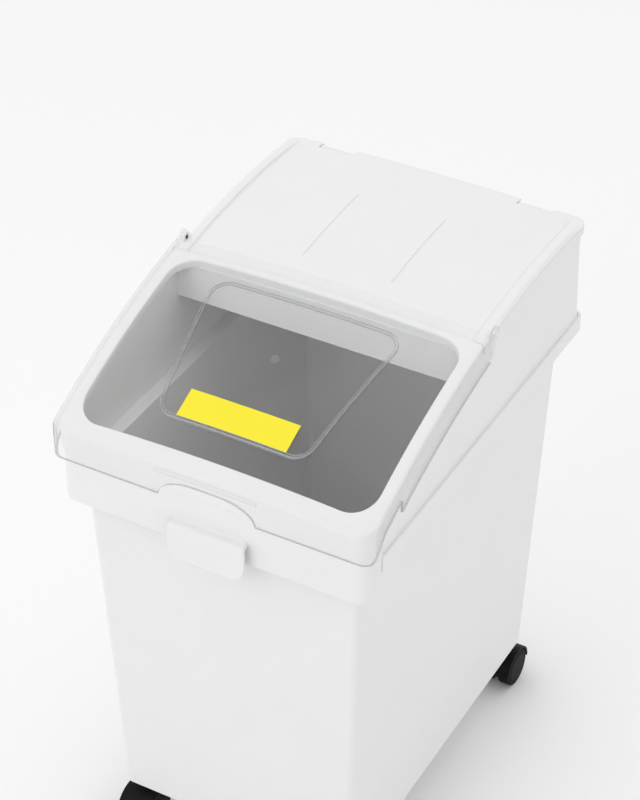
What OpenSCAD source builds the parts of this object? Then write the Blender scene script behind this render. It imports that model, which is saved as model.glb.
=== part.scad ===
// Rolling flour bin: a tapered tub on four casters, with a hood, a rear lid and a clear front lid.
// Millimetres, +Z up, front towards -Y, floor at Z = 0, origin under the middle of the outline.

/* [Tub] */
// Width of the tub at its base
base_w = 306; // [250:1:330]
// Depth of the tub at its base
base_d = 455; // [380:1:490]
// Width of the tub just under its rim
mouth_w = 340; // [300:1:380]
// Depth of the tub just under its rim
mouth_d = 489; // [430:1:540]
// Height of the tub from its base to the top of its rim
tub_h = 486; // [380:1:560]
// Wall thickness of the tub
tub_wall = 3.5; // [2.5:0.1:5]
// Thickness of the tub's floor
floor_t = 4; // [3:0.5:6]
// Radius of the tub's upright corners
tub_r = 10; // [8:0.5:20]

/* [Rim] */
// Reach of the rim's bead beyond the sides of the tub's mouth
rim_side = 20.5; // [17:0.5:28]
// Reach of the rim's bead beyond the back of the tub's mouth
rim_back = 19.5; // [17:0.5:28]
// Height of the bead above the rim's seat
bead_h = 16; // [10:1:24]
// Thickness of the bead and of the rim's seat
bead_t = 3; // [2.5:0.1:3.4]

/* [Front band] */
// Reach of the front band beyond the tub's mouth
band_out = 17.5; // [14:0.5:22]
// Drop of the band below the rim's seat
band_drop = 34; // [24:1:44]
// Height of the band above the rim's seat
band_rise = 34; // [20:1:40]
// Depth of the band's wrap round each corner
band_wrap = 26; // [20:1:40]
// Width of the pull tongue
pull_w = 94; // [70:1:120]
// Reach of the pull tongue in front of the band
pull_reach = 12; // [10:0.5:18]
// Height of the pull tongue
pull_h = 48; // [40:1:60]

/* [Hood] */
// Distance of the hood's side walls inside the rim's bead
hood_in = 4.5; // [4.2:0.1:8]
// Distance of the hood's rear wall inside the rim's bead
hood_back = 16; // [15:0.5:20]
// Distance of the hood's front wall behind the band's face
hood_set = 13; // [11:0.5:16]
// Lean of the hood's rear wall between its foot and its top
hood_lean = 10; // [4:0.5:11]
// Wall thickness of the hood
hood_wall = 3; // [2.5:0.1:4]
// Thickness of the frame round the front opening
frame_t = 9; // [7:0.5:12]
// Distance of the front opening's sides inside the rim
opening_in = 13.5; // [11:0.5:18]
// Distance from the tub's middle to the rear edge of the front opening
opening_rear = 22; // [20:1:34]

/* [Lid arc] */
// Distance of the arc's crest in front of the back of the rim
crest_in = 116; // [96:1:140]
// Height of the arc's crest above the rim's seat
crest_h = 162; // [140:1:190]
// Height of the clear lid's front edge above the rim's seat
front_h = 59.3; // [50:0.1:72]

/* [Rear lid] */
// Crown of the rear lid across its width
rear_crown = 4; // [1:0.5:5]
// Thickness of the rear lid
rear_t = 2.8; // [2:0.1:3.4]
// Distance of the rear lid's back edge inside the rim's bead
lid_back = 8; // [6.5:0.5:9.5]
// Length of each hinge slot
slot_len = 44; // [36:1:56]
// Distance of each hinge slot's middle from the side of the rear lid
slot_in = 62.5; // [52:0.5:76]
// Diameter of the hinge bars and of the clear lid's pivots
pivot_d = 6; // [5:0.5:7]

/* [Clear lid] */
// Reach of the clear lid beyond the rear lid's sides
clear_out = 4.5; // [4:0.1:6]
// Crown of the clear lid across its width
clear_crown = 7; // [5:0.5:9]
// Thickness of the clear lid
clear_t = 3; // [2.4:0.1:3.2]
// Thickness of the clear lid's skirts
skirt_t = 2.8; // [2:0.1:2.8]
// Depth of the side skirts behind the step
skirt_h = 34; // [26:1:38]
// Depth of the side skirts in front of the step
skirt_low_h = 20; // [14:1:24]
// Half width of the finger arch in the front skirt
arch_half = 58.5; // [46:0.5:72]
// Width of the label
label_w = 132; // [90:1:150]
// Depth of the label
label_d = 32; // [24:1:40]

/* [Casters] */
// Room for the swivel between the wheel cover and the tub's base
head_h = 10; // [8:0.5:14]
// Wheel diameter
wheel_d = 50; // [40:1:60]
// Width of each wheel
wheel_w = 17; // [12:0.5:18]
// Distance of the axle behind the swivel axis
trail = 20; // [18:0.5:22]
// Distance of the swivel axes inside the base's sides
caster_side = 19; // [16:0.5:40]
// Distance of the swivel axes inside the base's front and back
caster_end = 29.5; // [24:0.5:50]
// Diameter of the stem in its socket
stem_d = 10; // [8:0.5:11]
// Diameter of the wheel axles
axle_d = 6; // [5:0.5:7]

/* [Hidden] */
$fn = 64;
// Clearance of a pin that turns in a bore, on the radius
turn_gap = 0.05;
// Clearance between a still pair, on the radius
still_gap = 0.03;
// Clearance under a lid that rests closed
rest_gap = 0.5;
// Room beside a piece that moves
side_gap = 0.6;
// Overlap where solids of one piece join
join = 1;

white = [0.93, 0.93, 0.92];
clear = [0.86, 0.9, 0.92, 0.35];
yellow = [0.95, 0.78, 0.1];
black = [0.06, 0.06, 0.065];
steel = [0.72, 0.73, 0.75];

// Wheels set the height of the tub
wheel_r = wheel_d / 2;
wheel_room = 1.5;
cover_t = 2.5;
cover_r = wheel_r + wheel_room + cover_t;
base_z = wheel_r + cover_r + head_h;

// Rim and band
seat_z = base_z + tub_h;
seat_low = seat_z - bead_t;
rim_half = mouth_w / 2 + rim_side;
rim_rear = mouth_d / 2 + rim_back;
rim_w = 2 * rim_half;
band_front = mouth_d / 2 + band_out;
rim_r = 12;
band_half = rim_half - 1;
band_t = 3;
band_r = 20;
band_end = band_wrap - band_front;
band_gap = 0.5;
band_in = band_t + still_gap;
pull_t = 4;
pull_front = band_front + pull_reach;
pull_top = seat_z - 4;
pull_bend_z = pull_top - pull_reach;
pull_low = pull_top - pull_h;
pull_r = 14;

// The outline's middle, front to back, sits over the origin
centre_shift = (pull_front - rim_rear) / 2;

// Hood
hood_half = rim_half - hood_in;
hood_front = hood_set - band_front;
hood_rear = rim_rear - hood_back;
hood_r = 7;
slice = 8;
foot_out = 0.4;
foot_h = bead_h + 6;
opening_half = rim_half - opening_in;
opening_front = -hood_front - hood_wall;
opening_r = 30;
cross_wall_h = 74;

// Arc of the lids, through its crest and the clear lid's front edge
// An angle is counted from upright, positive towards the front
frame_front = band_front + 2.5;
clear_front = frame_front + 5;
arc_y = rim_rear - crest_in;
arc_drop = crest_h - front_h;
arc_r = (pow(arc_y + clear_front, 2) + pow(arc_drop, 2)) / (2 * arc_drop);
arc_z = seat_z + crest_h - arc_r;
sweep_front = 45;
sweep_rear = -25;
frame_r = arc_r - clear_t - 0.8;
frame_half = rim_half;
frame_corner = 20;
rear_r = arc_r - 8;
rail_r = rear_r - rear_t - rest_gap;
rail_h = 8;
function front_angle(y, r) = asin((arc_y + y) / r);
function on_arc(r, a) = [arc_y - r * sin(a), arc_z + r * cos(a)];
function spread(length) = length / arc_r * 180 / PI;

// Seam between the lids
bridge_w = 9;
seam_gap = 2.4;
pivot_in = 21.2;
ear_reach = 9.4;
ledge_back = 27.5;
ledge_front = 9.4;
bridge_angle = front_angle(opening_rear - bridge_w, frame_r);
rear_front_angle = bridge_angle - spread(seam_gap);
pivot_angle = bridge_angle - spread(pivot_in);
pivot_r = arc_r - 4;
pivot = on_arc(pivot_r, pivot_angle);
clear_rear_angle = pivot_angle + spread(ear_reach);
ledge_angles = [bridge_angle - spread(ledge_back), bridge_angle + spread(ledge_front)];

// Hinge at the back
lid_rear = rim_rear - lid_back;
slot_x = rim_half - slot_in;
knuckle_d = 14;
knuckle_len = slot_len - 4;
hinge_y = lid_rear - 8;
hinge_z = arc_z + sqrt(pow(rail_r, 2) - pow(hinge_y - arc_y, 2)) - 4;
slot_front = hinge_y - 5.5;
slot_back = lid_rear + join;
lug_t = 4;
lug_d = 12;

// Rear lid
rear_half = rim_half;
rear_skirt_t = 2.5;
rear_skirt_in = rear_half - rear_skirt_t;
rear_skirt_h = rail_h + 1;
rail_half = rear_skirt_in - side_gap;
border_in = rear_half - 12.5;
border_h = 2;
panel_half = border_in - 4;
rib_x = 55;
rib_w = 2.4;
rib_h = 1.2;
rib_angles = [front_angle(94 - lid_rear, rear_r), front_angle(opening_rear - 58.2, rear_r)];
lid_corner = 9;
cheek_d = 13;

// Clear lid
clear_half = rear_half + clear_out;
clear_r = 16;
front_gap = 27;
front_skirt_z = seat_z + front_gap;
lip_h = 7.3;
arch_rise = front_h - front_gap - lip_h;
pip_d = 6;
step_angle = front_angle(clear_front - 67.3, arc_r);
ear_d = 15;
ear_t = clear_half - rear_half - 0.9;
handle_half = arch_half + 3;
panel_front = clear_front - 49;
panel_rear = opening_rear + 23;
panel_rib = 4;
panel_wide = clear_half - 80;
panel_narrow = clear_half - 102;
panel_r = 22;
runner_in = clear_half - 67;
runner_gap = 15.7;
gate_y = panel_rear + 78;
label_front = panel_front - panel_rib - 0.3;
label_angles = [for (y = [label_front - label_d, label_front]) front_angle(y, arc_r + clear_crown)];
label_t = 0.2;
glue_t = 0.05;

// Casters
caster_x = base_w / 2 - caster_side;
caster_y = base_d / 2 - caster_end;
socket_d = stem_d + 4;
boss_d = socket_d + 8;
socket_h = 22;
collar_d = stem_d * 2;
collar_h = 3;
pin_d = stem_d - 1;
swivel_gap = 0.5;
web_half = 4;
wheel_in = web_half + side_gap;
wheel_out = wheel_in + wheel_w;
neck_top = base_z - collar_h - swivel_gap;
neck_d = pin_d + 11;
neck_low = wheel_r + sqrt(pow(wheel_r, 2) - pow(trail - neck_d / 2, 2)) + 0.8;
axle_half = wheel_out - 1.6;
front_left = [-1, -1];
front_right = [1, -1];
rear_left = [-1, 1];
rear_right = [1, 1];

// Moves a piece from the tub's middle to the outline's middle
module placed() {
    translate([0, centre_shift, 0]) children();
}

// Rectangle with true round corners, from one Y to another
module rounded_plan(half, front, rear, r) {
    translate([-half, front + r]) square([2 * half, rear - front - 2 * r]);
    translate([r - half, front]) square([2 * half - 2 * r, rear - front]);
    for (x = [r - half, half - r], y = [front + r, rear - r]) translate([x, y]) circle(r);
}

// Upright block on a rounded rectangle
module plan_block(half, front, rear, r, low, high) {
    translate([0, 0, low]) linear_extrude(high - low) rounded_plan(half, front, rear, r);
}

// Plain box between two corners
module box(low, high) {
    translate(low) cube(high - low);
}

// Bar along X, round
module x_bar(spot, d, from, to) {
    translate([from, spot[0], spot[1]]) rotate([0, 90, 0]) cylinder(d = d, h = to - from);
}

// Sweeps a profile of [radius, x] points round the arc's axis
module arc_sweep(from, to) {
    translate([0, arc_y, arc_z]) rotate([0, 90, 0]) rotate([0, 0, 180 + from])
        rotate_extrude(angle = to - from, $fn = 720) children();
}

// Crowned line across the bin, as [radius, x] points
function crown_line(r, rise, half, reach) = [
    for (i = [-8:8]) [r + rise * (1 - pow(i * reach / 8 / half, 2)), i * reach / 8]];
function backwards(list) = [for (i = [len(list) - 1:-1:0]) list[i]];

// Crowned layer between two radii
module layer(low, high, rise, half, reach, from, to) {
    arc_sweep(from, to) polygon(concat(crown_line(high, rise, half, reach),
        backwards(crown_line(low, rise, half, reach))));
}

// Everything under a crowned surface
module below(high, rise, half, reach, from, to) {
    arc_sweep(from, to) polygon(concat(crown_line(high, rise, half, reach),
        [[arc_r / 2, reach], [arc_r / 2, -reach]]));
}

// Tapered block with round upright corners
module tub_block(inset, low, high, corner_in) {
    function half_at(base, mouth, z) = (base + (mouth - base) * (z - base_z) / tub_h) / 2 - inset;
    hull() for (layer = [[low, corner_in], [low + corner_in + 0.01, 0], [high - 0.01, 0]])
        translate([0, 0, layer[0]]) linear_extrude(0.01) {
            half_w = half_at(base_w, mouth_w, layer[0]) - layer[1];
            half_d = half_at(base_d, mouth_d, layer[0]) - layer[1];
            rounded_plan(half_w, -half_d, half_d, tub_r - inset, $fn = 32);
        }
}

// Outline of the rim's seat: full width behind the band, tucked into the band in front
module seat_plan() {
    intersection() {
        rounded_plan(rim_half, -rim_rear - rim_r, rim_rear, rim_r);
        translate([-rim_w, band_end]) square([2 * rim_w, 2 * rim_rear]);
    }
    intersection() {
        rounded_plan(band_half - band_in, band_in - band_front, rim_rear - bead_t, band_r - band_in);
        translate([-rim_w, -2 * rim_rear]) square([2 * rim_w, 2 * rim_rear + band_end + join]);
    }
}

// Bead along both sides and the back
module bead_plan() {
    intersection() {
        difference() {
            rounded_plan(rim_half, -rim_rear - rim_r, rim_rear, rim_r);
            rounded_plan(rim_half - bead_t, -2 * rim_rear, rim_rear - bead_t, rim_r - bead_t);
        }
        translate([-rim_w, band_end]) square([2 * rim_w, 2 * rim_rear]);
    }
}

// Tub with its floor, rim and caster bosses
module tub() {
    color(white) placed() difference() {
        union() {
            difference() {
                union() {
                    tub_block(0, base_z, seat_z, 5);
                    translate([0, 0, seat_low]) linear_extrude(bead_t) seat_plan();
                }
                tub_block(tub_wall, base_z + floor_t, seat_z + join, 4);
            }
            translate([0, 0, seat_low]) linear_extrude(bead_t + bead_h) bead_plan();
            for (x = [-caster_x, caster_x], y = [-caster_y, caster_y])
                translate([x, y, base_z + join]) cylinder(d = boss_d, h = socket_h + floor_t - join);
        }
        for (x = [-caster_x, caster_x], y = [-caster_y, caster_y])
            translate([x, y, base_z - join])
                cylinder(d = socket_d + 2 * still_gap, h = socket_h + join + still_gap);
    }
}

// Front band that wraps the rim's front corners, with the pull tongue
module front_band() {
    color(white) placed() {
        intersection() {
            difference() {
                plan_block(band_half, -band_front, rim_rear, band_r, seat_z - band_drop, seat_z + band_rise);
                plan_block(band_half - band_t, band_t - band_front, 2 * rim_rear, band_r - band_t,
                    seat_z - band_drop - join, seat_z + band_rise + join);
            }
            box([-rim_w, -2 * rim_rear, 0], [rim_w, band_end - band_gap, seat_z + arc_r]);
        }
        pull_tongue();
    }
}

// Tongue that springs from the band, bends down and leaves room for fingers behind it
module pull_tongue() {
    half = pull_w / 2;
    bend = [-band_front, pull_bend_z];
    intersection() {
        union() {
            intersection() {
                difference() {
                    x_bar(bend, 2 * pull_reach, -half, half);
                    x_bar(bend, 2 * (pull_reach - pull_t), -pull_w, pull_w);
                }
                box([-pull_w, -pull_front - join, pull_bend_z], [pull_w, join - band_front, pull_top + join]);
            }
            box([-half, -pull_front, pull_low], [half, pull_t - pull_front, pull_bend_z]);
        }
        translate([0, join - band_front, 0]) rotate([90, 0, 0])
            linear_extrude(pull_reach + 2 * join) rounded_plan(half, pull_low, pull_top + pull_r, pull_r);
    }
}

// Hood: walls, foot, frame round the front opening, bridge, side rails and hinge knuckles
module hood() {
    color(white) placed() {
        difference() {
            union() {
                hood_walls();
                hood_frame();
                hood_bridge();
                hood_rails();
            }
            hinge_room();
        }
        hinge_knuckles();
    }
}

// Upright block whose back leans in towards the top, between two heights above the seat
module hood_block(inset, low, high) {
    half = hood_half - inset;
    front = hood_front + inset;
    r = hood_r - inset;
    intersection() {
        hull() for (h = [-slice, crest_h + slice])
            translate([0, 0, seat_z + h - slice / 2]) linear_extrude(slice)
                rounded_plan(half, front, hood_rear + hood_lean * (1 - h / crest_h) - inset, r, $fn = 32);
        box([-rim_half, -rim_rear - band_out, seat_z + low], [rim_half, rim_rear, seat_z + high]);
    }
}

module hood_walls() {
    intersection() {
        difference() {
            union() {
                hood_block(0, 0, crest_h);
                hood_block(-foot_out, 0, foot_h);
            }
            hood_block(hood_wall, -join, crest_h + join);
        }
        union() {
            below(frame_r - frame_t / 2, clear_crown, clear_half, rim_half, bridge_angle, sweep_front);
            below(rail_r - rail_h / 2, rear_crown, panel_half, rim_half, sweep_rear, bridge_angle);
        }
    }
}

module hood_frame() {
    difference() {
        intersection() {
            layer(frame_r - frame_t, frame_r, clear_crown, clear_half, rim_half + join,
                bridge_angle, sweep_front);
            plan_block(frame_half, -frame_front, rim_rear, frame_corner, seat_z, seat_z + 2 * crest_h);
        }
        plan_block(opening_half, -opening_front, -opening_rear, opening_r, seat_z, seat_z + 2 * crest_h);
    }
}

module hood_bridge() {
    reach = hood_half - join;
    layer(rail_r - hood_wall, rail_r, rear_crown, panel_half, reach, ledge_angles[0], ledge_angles[1]);
    intersection() {
        box([-reach, -opening_rear, seat_z + crest_h - cross_wall_h],
            [reach, hood_wall - opening_rear, seat_z + crest_h]);
        below(frame_r - join, clear_crown, clear_half, rim_half, 0, sweep_front);
    }
}

module hood_rails() {
    intersection() {
        layer(rail_r - rail_h, rail_r, rear_crown, panel_half, rail_half, sweep_rear, bridge_angle);
        difference() {
            plan_block(rail_half, -2 * rim_rear, hood_rear, hood_r, seat_z, seat_z + 2 * crest_h);
            plan_block(hood_half - hood_wall, -3 * rim_rear, hood_rear - hood_wall, hood_r - hood_wall,
                seat_z - join, seat_z + 3 * crest_h);
        }
    }
}

// Room for the hinge lugs and for the back edge of the rear lid as it swings
module hinge_room() {
    low = hinge_z - knuckle_d / 2 - 2;
    half = slot_len / 2 + lug_t + 2;
    box([-rim_w, hinge_y - 6, hinge_z + 2], [rim_w, hinge_y + knuckle_d, seat_z + 2 * crest_h]);
    for (side = [-1, 1])
        translate([side * slot_x, 0, 0])
            box([-half, hinge_y - knuckle_d, low], [half, hinge_y + knuckle_d, seat_z + 2 * crest_h]);
}

// Two knuckles with an open snap mouth behind the bore
module hinge_knuckles() {
    half = knuckle_len / 2;
    mouth = pivot_d - 1;
    for (side = [-1, 1]) translate([side * slot_x, 0, 0]) difference() {
        union() {
            x_bar([hinge_y, hinge_z], knuckle_d, -half, half);
            box([-half, hood_rear - hood_wall, hinge_z - knuckle_d / 2 - 3], [half, hood_rear, hinge_z]);
        }
        x_bar([hinge_y, hinge_z], pivot_d + 2 * turn_gap, -knuckle_len, knuckle_len);
        box([-knuckle_len, hinge_y, hinge_z - mouth / 2],
            [knuckle_len, hinge_y + knuckle_d, hinge_z + mouth / 2]);
    }
}

// Right half of the rear lid's section, outside then inside, as [radius, x] points
rear_edge = [
    [rear_r - 0.9, panel_half + 0.8],
    [rear_r - 0.9, panel_half + 2.8],
    [rear_r + border_h, border_in],
    [rear_r + border_h, rear_half - 4],
    [rear_r - 0.6, rear_half],
    [rear_r - 2.4, rear_half],
    [rear_r - 2.8, rear_half - 0.9],
    [rear_r - 3.8, rear_half - 0.9],
    [rear_r - 4.2, rear_half],
    [rail_r - rear_skirt_h, rear_half],
    [rail_r - rear_skirt_h, rear_skirt_in],
    [rear_r - rear_t, rear_skirt_in]];
rear_edge_left = [for (p = backwards(rear_edge)) [p[0], -p[1]]];
rear_top = crown_line(rear_r, rear_crown, panel_half, panel_half);
rear_under = backwards(crown_line(rear_r - rear_t, rear_crown, panel_half, panel_half));

// Rear lid with its border, ribs, hinge slots, hinge bars and pivots for the clear lid
module rear_lid() {
    color(white) placed() {
        difference() {
            intersection() {
                union() {
                    arc_sweep(sweep_rear, rear_front_angle)
                        polygon(concat(rear_top, rear_edge, rear_under, rear_edge_left));
                    rear_ribs();
                }
                plan_block(rear_half, -rim_rear, lid_rear, lid_corner, seat_z, seat_z + 2 * crest_h);
            }
            for (side = [-1, 1]) translate([side * slot_x, 0, 0])
                box([-slot_len / 2, slot_front, seat_z], [slot_len / 2, slot_back, seat_z + 2 * crest_h]);
        }
        hinge_bars();
        lid_pivots();
    }
}

module rear_ribs() {
    intersection() {
        layer(rear_r - join, rear_r + rib_h, rear_crown, panel_half, rib_x + rib_w,
            rib_angles[0], rib_angles[1]);
        for (side = [-1, 1]) translate([side * rib_x, 0, 0])
            box([-rib_w / 2, -rim_rear, seat_z], [rib_w / 2, rim_rear, seat_z + 2 * crest_h]);
    }
}

// A bar in each slot, held by two lugs under the lid
module hinge_bars() {
    inner = slot_len / 2;
    outer = inner + lug_t;
    for (side = [-1, 1]) translate([side * slot_x, 0, 0]) {
        x_bar([hinge_y, hinge_z], pivot_d, -outer, outer);
        for (start = [-outer, inner]) {
            x_bar([hinge_y, hinge_z], lug_d, start, start + lug_t);
            intersection() {
                box([start, hinge_y - lug_d / 2, hinge_z],
                    [start + lug_t, hinge_y + lug_d / 2, hinge_z + lug_d]);
                translate([-side * slot_x, 0, 0])
                    below(rear_r - join, rear_crown, panel_half, panel_half, sweep_rear, 0);
            }
        }
    }
}

// Cheeks at the front corners, each with a stub the clear lid turns on
module lid_pivots() {
    for (side = [-1, 1]) mirror([side < 0 ? 1 : 0, 0, 0]) {
        x_bar(pivot, cheek_d, rear_skirt_in, rear_half);
        x_bar(pivot, pivot_d, rear_skirt_in, clear_half + 0.5);
    }
}

// Clear lid: crowned plate, skirts on three sides and two ears
module clear_lid() {
    color(clear) placed() {
        difference() {
            union() {
                difference() {
                    clear_block(0, arc_r, clear_rear_angle, arc_r);
                    clear_block(skirt_t, arc_r - clear_t, clear_rear_angle - 2, 2 * arc_r);
                }
                clear_ears();
                clear_handle();
                arch_pips();
            }
            skirt_cuts();
            for (side = [-1, 1]) mirror([side < 0 ? 1 : 0, 0, 0])
                x_bar(pivot, pivot_d + 2 * turn_gap, rear_half, clear_half + join);
        }
        clear_panel();
        clear_runners();
        gate_mark();
    }
}

// Block under the clear lid's surface, inside its outline
module clear_block(inset, top, from, height) {
    half = clear_half - inset;
    intersection() {
        below(top, clear_crown, clear_half, half + join, from, sweep_front);
        plan_block(half, inset - clear_front, rim_rear, clear_r - inset, seat_z - inset, seat_z + height);
    }
}

// What is cut away below the skirts, and the finger arch
module skirt_cuts() {
    reach = clear_half + join;
    box([-reach, -clear_front - join, 0], [reach, rim_rear, front_skirt_z]);
    under_skirt(skirt_h, clear_rear_angle - 4, step_angle);
    difference() {
        under_skirt(skirt_low_h, step_angle - 0.01, sweep_front);
        corner_drop();
    }
    translate([0, skirt_t + join - clear_front, 0]) rotate([90, 0, 0]) linear_extrude(skirt_t + 2 * join)
        rounded_plan(arch_half, front_skirt_z - 2 * arch_rise, front_skirt_z + arch_rise, arch_rise);
}

// Round pips at both ends of the finger arch
module arch_pips() {
    for (x = [-arch_half - pip_d / 2, arch_half + pip_d / 2])
        translate([x, join - clear_front, front_skirt_z + pip_d / 2]) rotate([90, 0, 0])
            cylinder(d = pip_d, h = join + 1.5);
}

// Everything lower than a skirt of a given depth
module under_skirt(depth, from, to) {
    reach = clear_half + join;
    arc_sweep(from, to) polygon([[arc_r / 2, -reach], [arc_r / 2, reach],
        [arc_r - depth, reach], [arc_r - depth, -reach]]);
}

// Front skirt and its corners reach lower than the sides, with a slope between them
module corner_drop() {
    reach = clear_half + 2 * join;
    front = -clear_front - 2 * join;
    slope_from = 8 - clear_front;
    slope_to = 32 - clear_front;
    translate([-reach, 0, 0]) rotate([90, 0, 90]) linear_extrude(2 * reach) polygon([
        [front, front_skirt_z - join], [slope_from, front_skirt_z - join], [slope_from, front_skirt_z],
        [slope_to, front_skirt_z + 26], [slope_to, front_skirt_z + 60], [front, front_skirt_z + 60]]);
}

// Ears that run back from the side skirts to the pivots
module clear_ears() {
    top = on_arc(arc_r, clear_rear_angle + 0.1);
    foot = on_arc(arc_r - skirt_h, clear_rear_angle + 0.1);
    heel = on_arc(arc_r - skirt_h + 8, clear_rear_angle - 0.15);
    throat = on_arc(pivot_r - ear_d / 2, pivot_angle);
    crest = on_arc(pivot_r + ear_d / 2, pivot_angle);
    for (side = [-1, 1]) mirror([side < 0 ? 1 : 0, 0, 0]) {
        x_bar(pivot, ear_d, clear_half - ear_t, clear_half);
        translate([clear_half - ear_t, 0, 0]) rotate([90, 0, 90]) linear_extrude(ear_t)
            polygon([crest, top, foot, heel, throat]);
    }
}

// Lip to lift the lid by, above the finger arch
module clear_handle() {
    intersection() {
        layer(arc_r - 9, arc_r - 4, clear_crown, clear_half, handle_half, step_angle, sweep_front);
        box([-handle_half, -clear_front - 2.5, seat_z], [handle_half, join - clear_front, seat_z + crest_h]);
    }
}

// Raised rounded rib on the plate
module clear_panel() {
    intersection() {
        layer(arc_r - join, arc_r + 2, clear_crown, clear_half, panel_wide + panel_rib,
            clear_rear_angle, sweep_front);
        translate([0, 0, seat_z]) linear_extrude(2 * crest_h) difference() {
            panel_plan(0);
            panel_plan(panel_rib);
        }
    }
}

module panel_plan(inset) {
    r = panel_r - inset;
    hull() for (side = [-1, 1]) {
        translate([side * (panel_narrow - panel_r), panel_r - panel_front]) circle(r, $fn = 48);
        translate([side * (panel_wide - panel_r), -panel_r - panel_rear]) circle(r, $fn = 48);
    }
}

// Raised side strips and the round gate mark
module clear_runners() {
    intersection() {
        layer(arc_r - join, arc_r + 0.6, clear_crown, clear_half, clear_half - 4,
            clear_rear_angle + spread(runner_gap), step_angle);
        for (side = [-1, 1]) mirror([side < 0 ? 1 : 0, 0, 0])
            box([runner_in, -rim_rear, seat_z], [clear_half - 5, rim_rear, seat_z + 2 * crest_h]);
    }
}

module gate_mark() {
    intersection() {
        layer(arc_r - join, arc_r + 0.7, clear_crown, clear_half, 20, clear_rear_angle, sweep_front);
        translate([0, -gate_y, seat_z]) cylinder(d = 10, h = 2 * crest_h);
    }
}

// Blank label on the clear lid
module label() {
    color(yellow) placed() layer(arc_r + glue_t, arc_r + glue_t + label_t, clear_crown, clear_half,
        label_w / 2, label_angles[0], label_angles[1]);
}

// Stands a caster piece at its corner, trailing away from the tub's middle
module at_corner(corner) {
    placed() translate([corner[0] * caster_x, corner[1] * caster_y, 0])
        rotate([0, 0, corner[1] > 0 ? 0 : 180]) children();
}

// Sleeve pressed into the tub's boss
module caster_socket(corner) {
    color(black) at_corner(corner) translate([0, 0, base_z]) difference() {
        cylinder(d = socket_d, h = socket_h);
        translate([0, 0, -join]) cylinder(d = stem_d, h = socket_h + 2 * join);
    }
}

// Stem with its collar, fixed in the sleeve
module caster_stem(corner) {
    color(steel) at_corner(corner) {
        translate([0, 0, base_z - join]) cylinder(d = stem_d - 2 * still_gap, h = socket_h);
        translate([0, 0, base_z - collar_h]) cylinder(d = collar_d, h = collar_h);
        translate([0, 0, neck_low + 1]) cylinder(d = pin_d, h = base_z - collar_h - neck_low);
    }
}

// Housing that swivels on the stem: neck, wheel cover and centre web
module caster_housing(corner) {
    spot = [trail, wheel_r];
    color(black) at_corner(corner) difference() {
        union() {
            translate([0, 0, neck_low]) cylinder(d = neck_d, h = neck_top - neck_low);
            intersection() {
                x_bar(spot, 2 * cover_r, -wheel_out, wheel_out);
                box([-wheel_d, trail - wheel_d, wheel_r], [wheel_d, trail + wheel_d, 2 * wheel_d]);
            }
            x_bar(spot, axle_d + 12, -web_half, web_half);
        }
        for (side = [-1, 1]) mirror([side < 0 ? 1 : 0, 0, 0])
            x_bar(spot, wheel_d + 2 * wheel_room, web_half, wheel_out + join);
        x_bar(spot, axle_d + 2 * still_gap, -wheel_d, wheel_d);
        translate([0, 0, neck_low + 0.4]) cylinder(d = pin_d + 2 * turn_gap, h = wheel_d);
    }
}

// Axle fixed in the housing's web
module caster_axle(corner) {
    color(steel) at_corner(corner) x_bar([trail, wheel_r], axle_d, -axle_half, axle_half);
}

// Wheel with a rounded tread, a smooth dished disc and a blind bore
module caster_wheel(corner, side) {
    soft = 2.5;
    rim = wheel_r - 5;
    color(black) at_corner(corner) mirror([side * corner[0] * corner[1] < 0 ? 1 : 0, 0, 0])
        translate([wheel_in, trail, wheel_r]) rotate([0, 90, 0]) rotate_extrude() difference() {
            union() {
                square([wheel_r - soft, wheel_w]);
                translate([0, soft]) square([wheel_r, wheel_w - 2 * soft]);
                for (z = [soft, wheel_w - soft]) translate([wheel_r - soft, z]) circle(soft);
            }
            translate([-wheel_r, -join]) square([wheel_r + axle_d / 2 + turn_gap, wheel_w + join - 1.2]);
            translate([rim, wheel_w]) circle(0.8);
            translate([axle_d, -join]) square([rim - axle_d - 1, join + 2]);
        }
}

tub();
front_band();
hood();
rear_lid();
clear_lid();
label();
caster_socket(front_left);  // front_left_socket
caster_stem(front_left);  // front_left_stem
caster_housing(front_left);  // front_left_housing
caster_axle(front_left);  // front_left_axle
caster_wheel(front_left, 1);  // front_left_wheel_outer
caster_wheel(front_left, -1);  // front_left_wheel_inner
caster_socket(front_right);  // front_right_socket
caster_stem(front_right);  // front_right_stem
caster_housing(front_right);  // front_right_housing
caster_axle(front_right);  // front_right_axle
caster_wheel(front_right, 1);  // front_right_wheel_outer
caster_wheel(front_right, -1);  // front_right_wheel_inner
caster_socket(rear_left);  // rear_left_socket
caster_stem(rear_left);  // rear_left_stem
caster_housing(rear_left);  // rear_left_housing
caster_axle(rear_left);  // rear_left_axle
caster_wheel(rear_left, 1);  // rear_left_wheel_outer
caster_wheel(rear_left, -1);  // rear_left_wheel_inner
caster_socket(rear_right);  // rear_right_socket
caster_stem(rear_right);  // rear_right_stem
caster_housing(rear_right);  // rear_right_housing
caster_axle(rear_right);  // rear_right_axle
caster_wheel(rear_right, 1);  // rear_right_wheel_outer
caster_wheel(rear_right, -1);  // rear_right_wheel_inner
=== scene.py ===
"""Rolling flour bin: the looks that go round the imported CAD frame, in metres, +Z up, front towards -Y."""

import logging
import math
from dataclasses import dataclass
from enum import Enum
from typing import Any, Callable, Iterable, Mapping, Sequence

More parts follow.
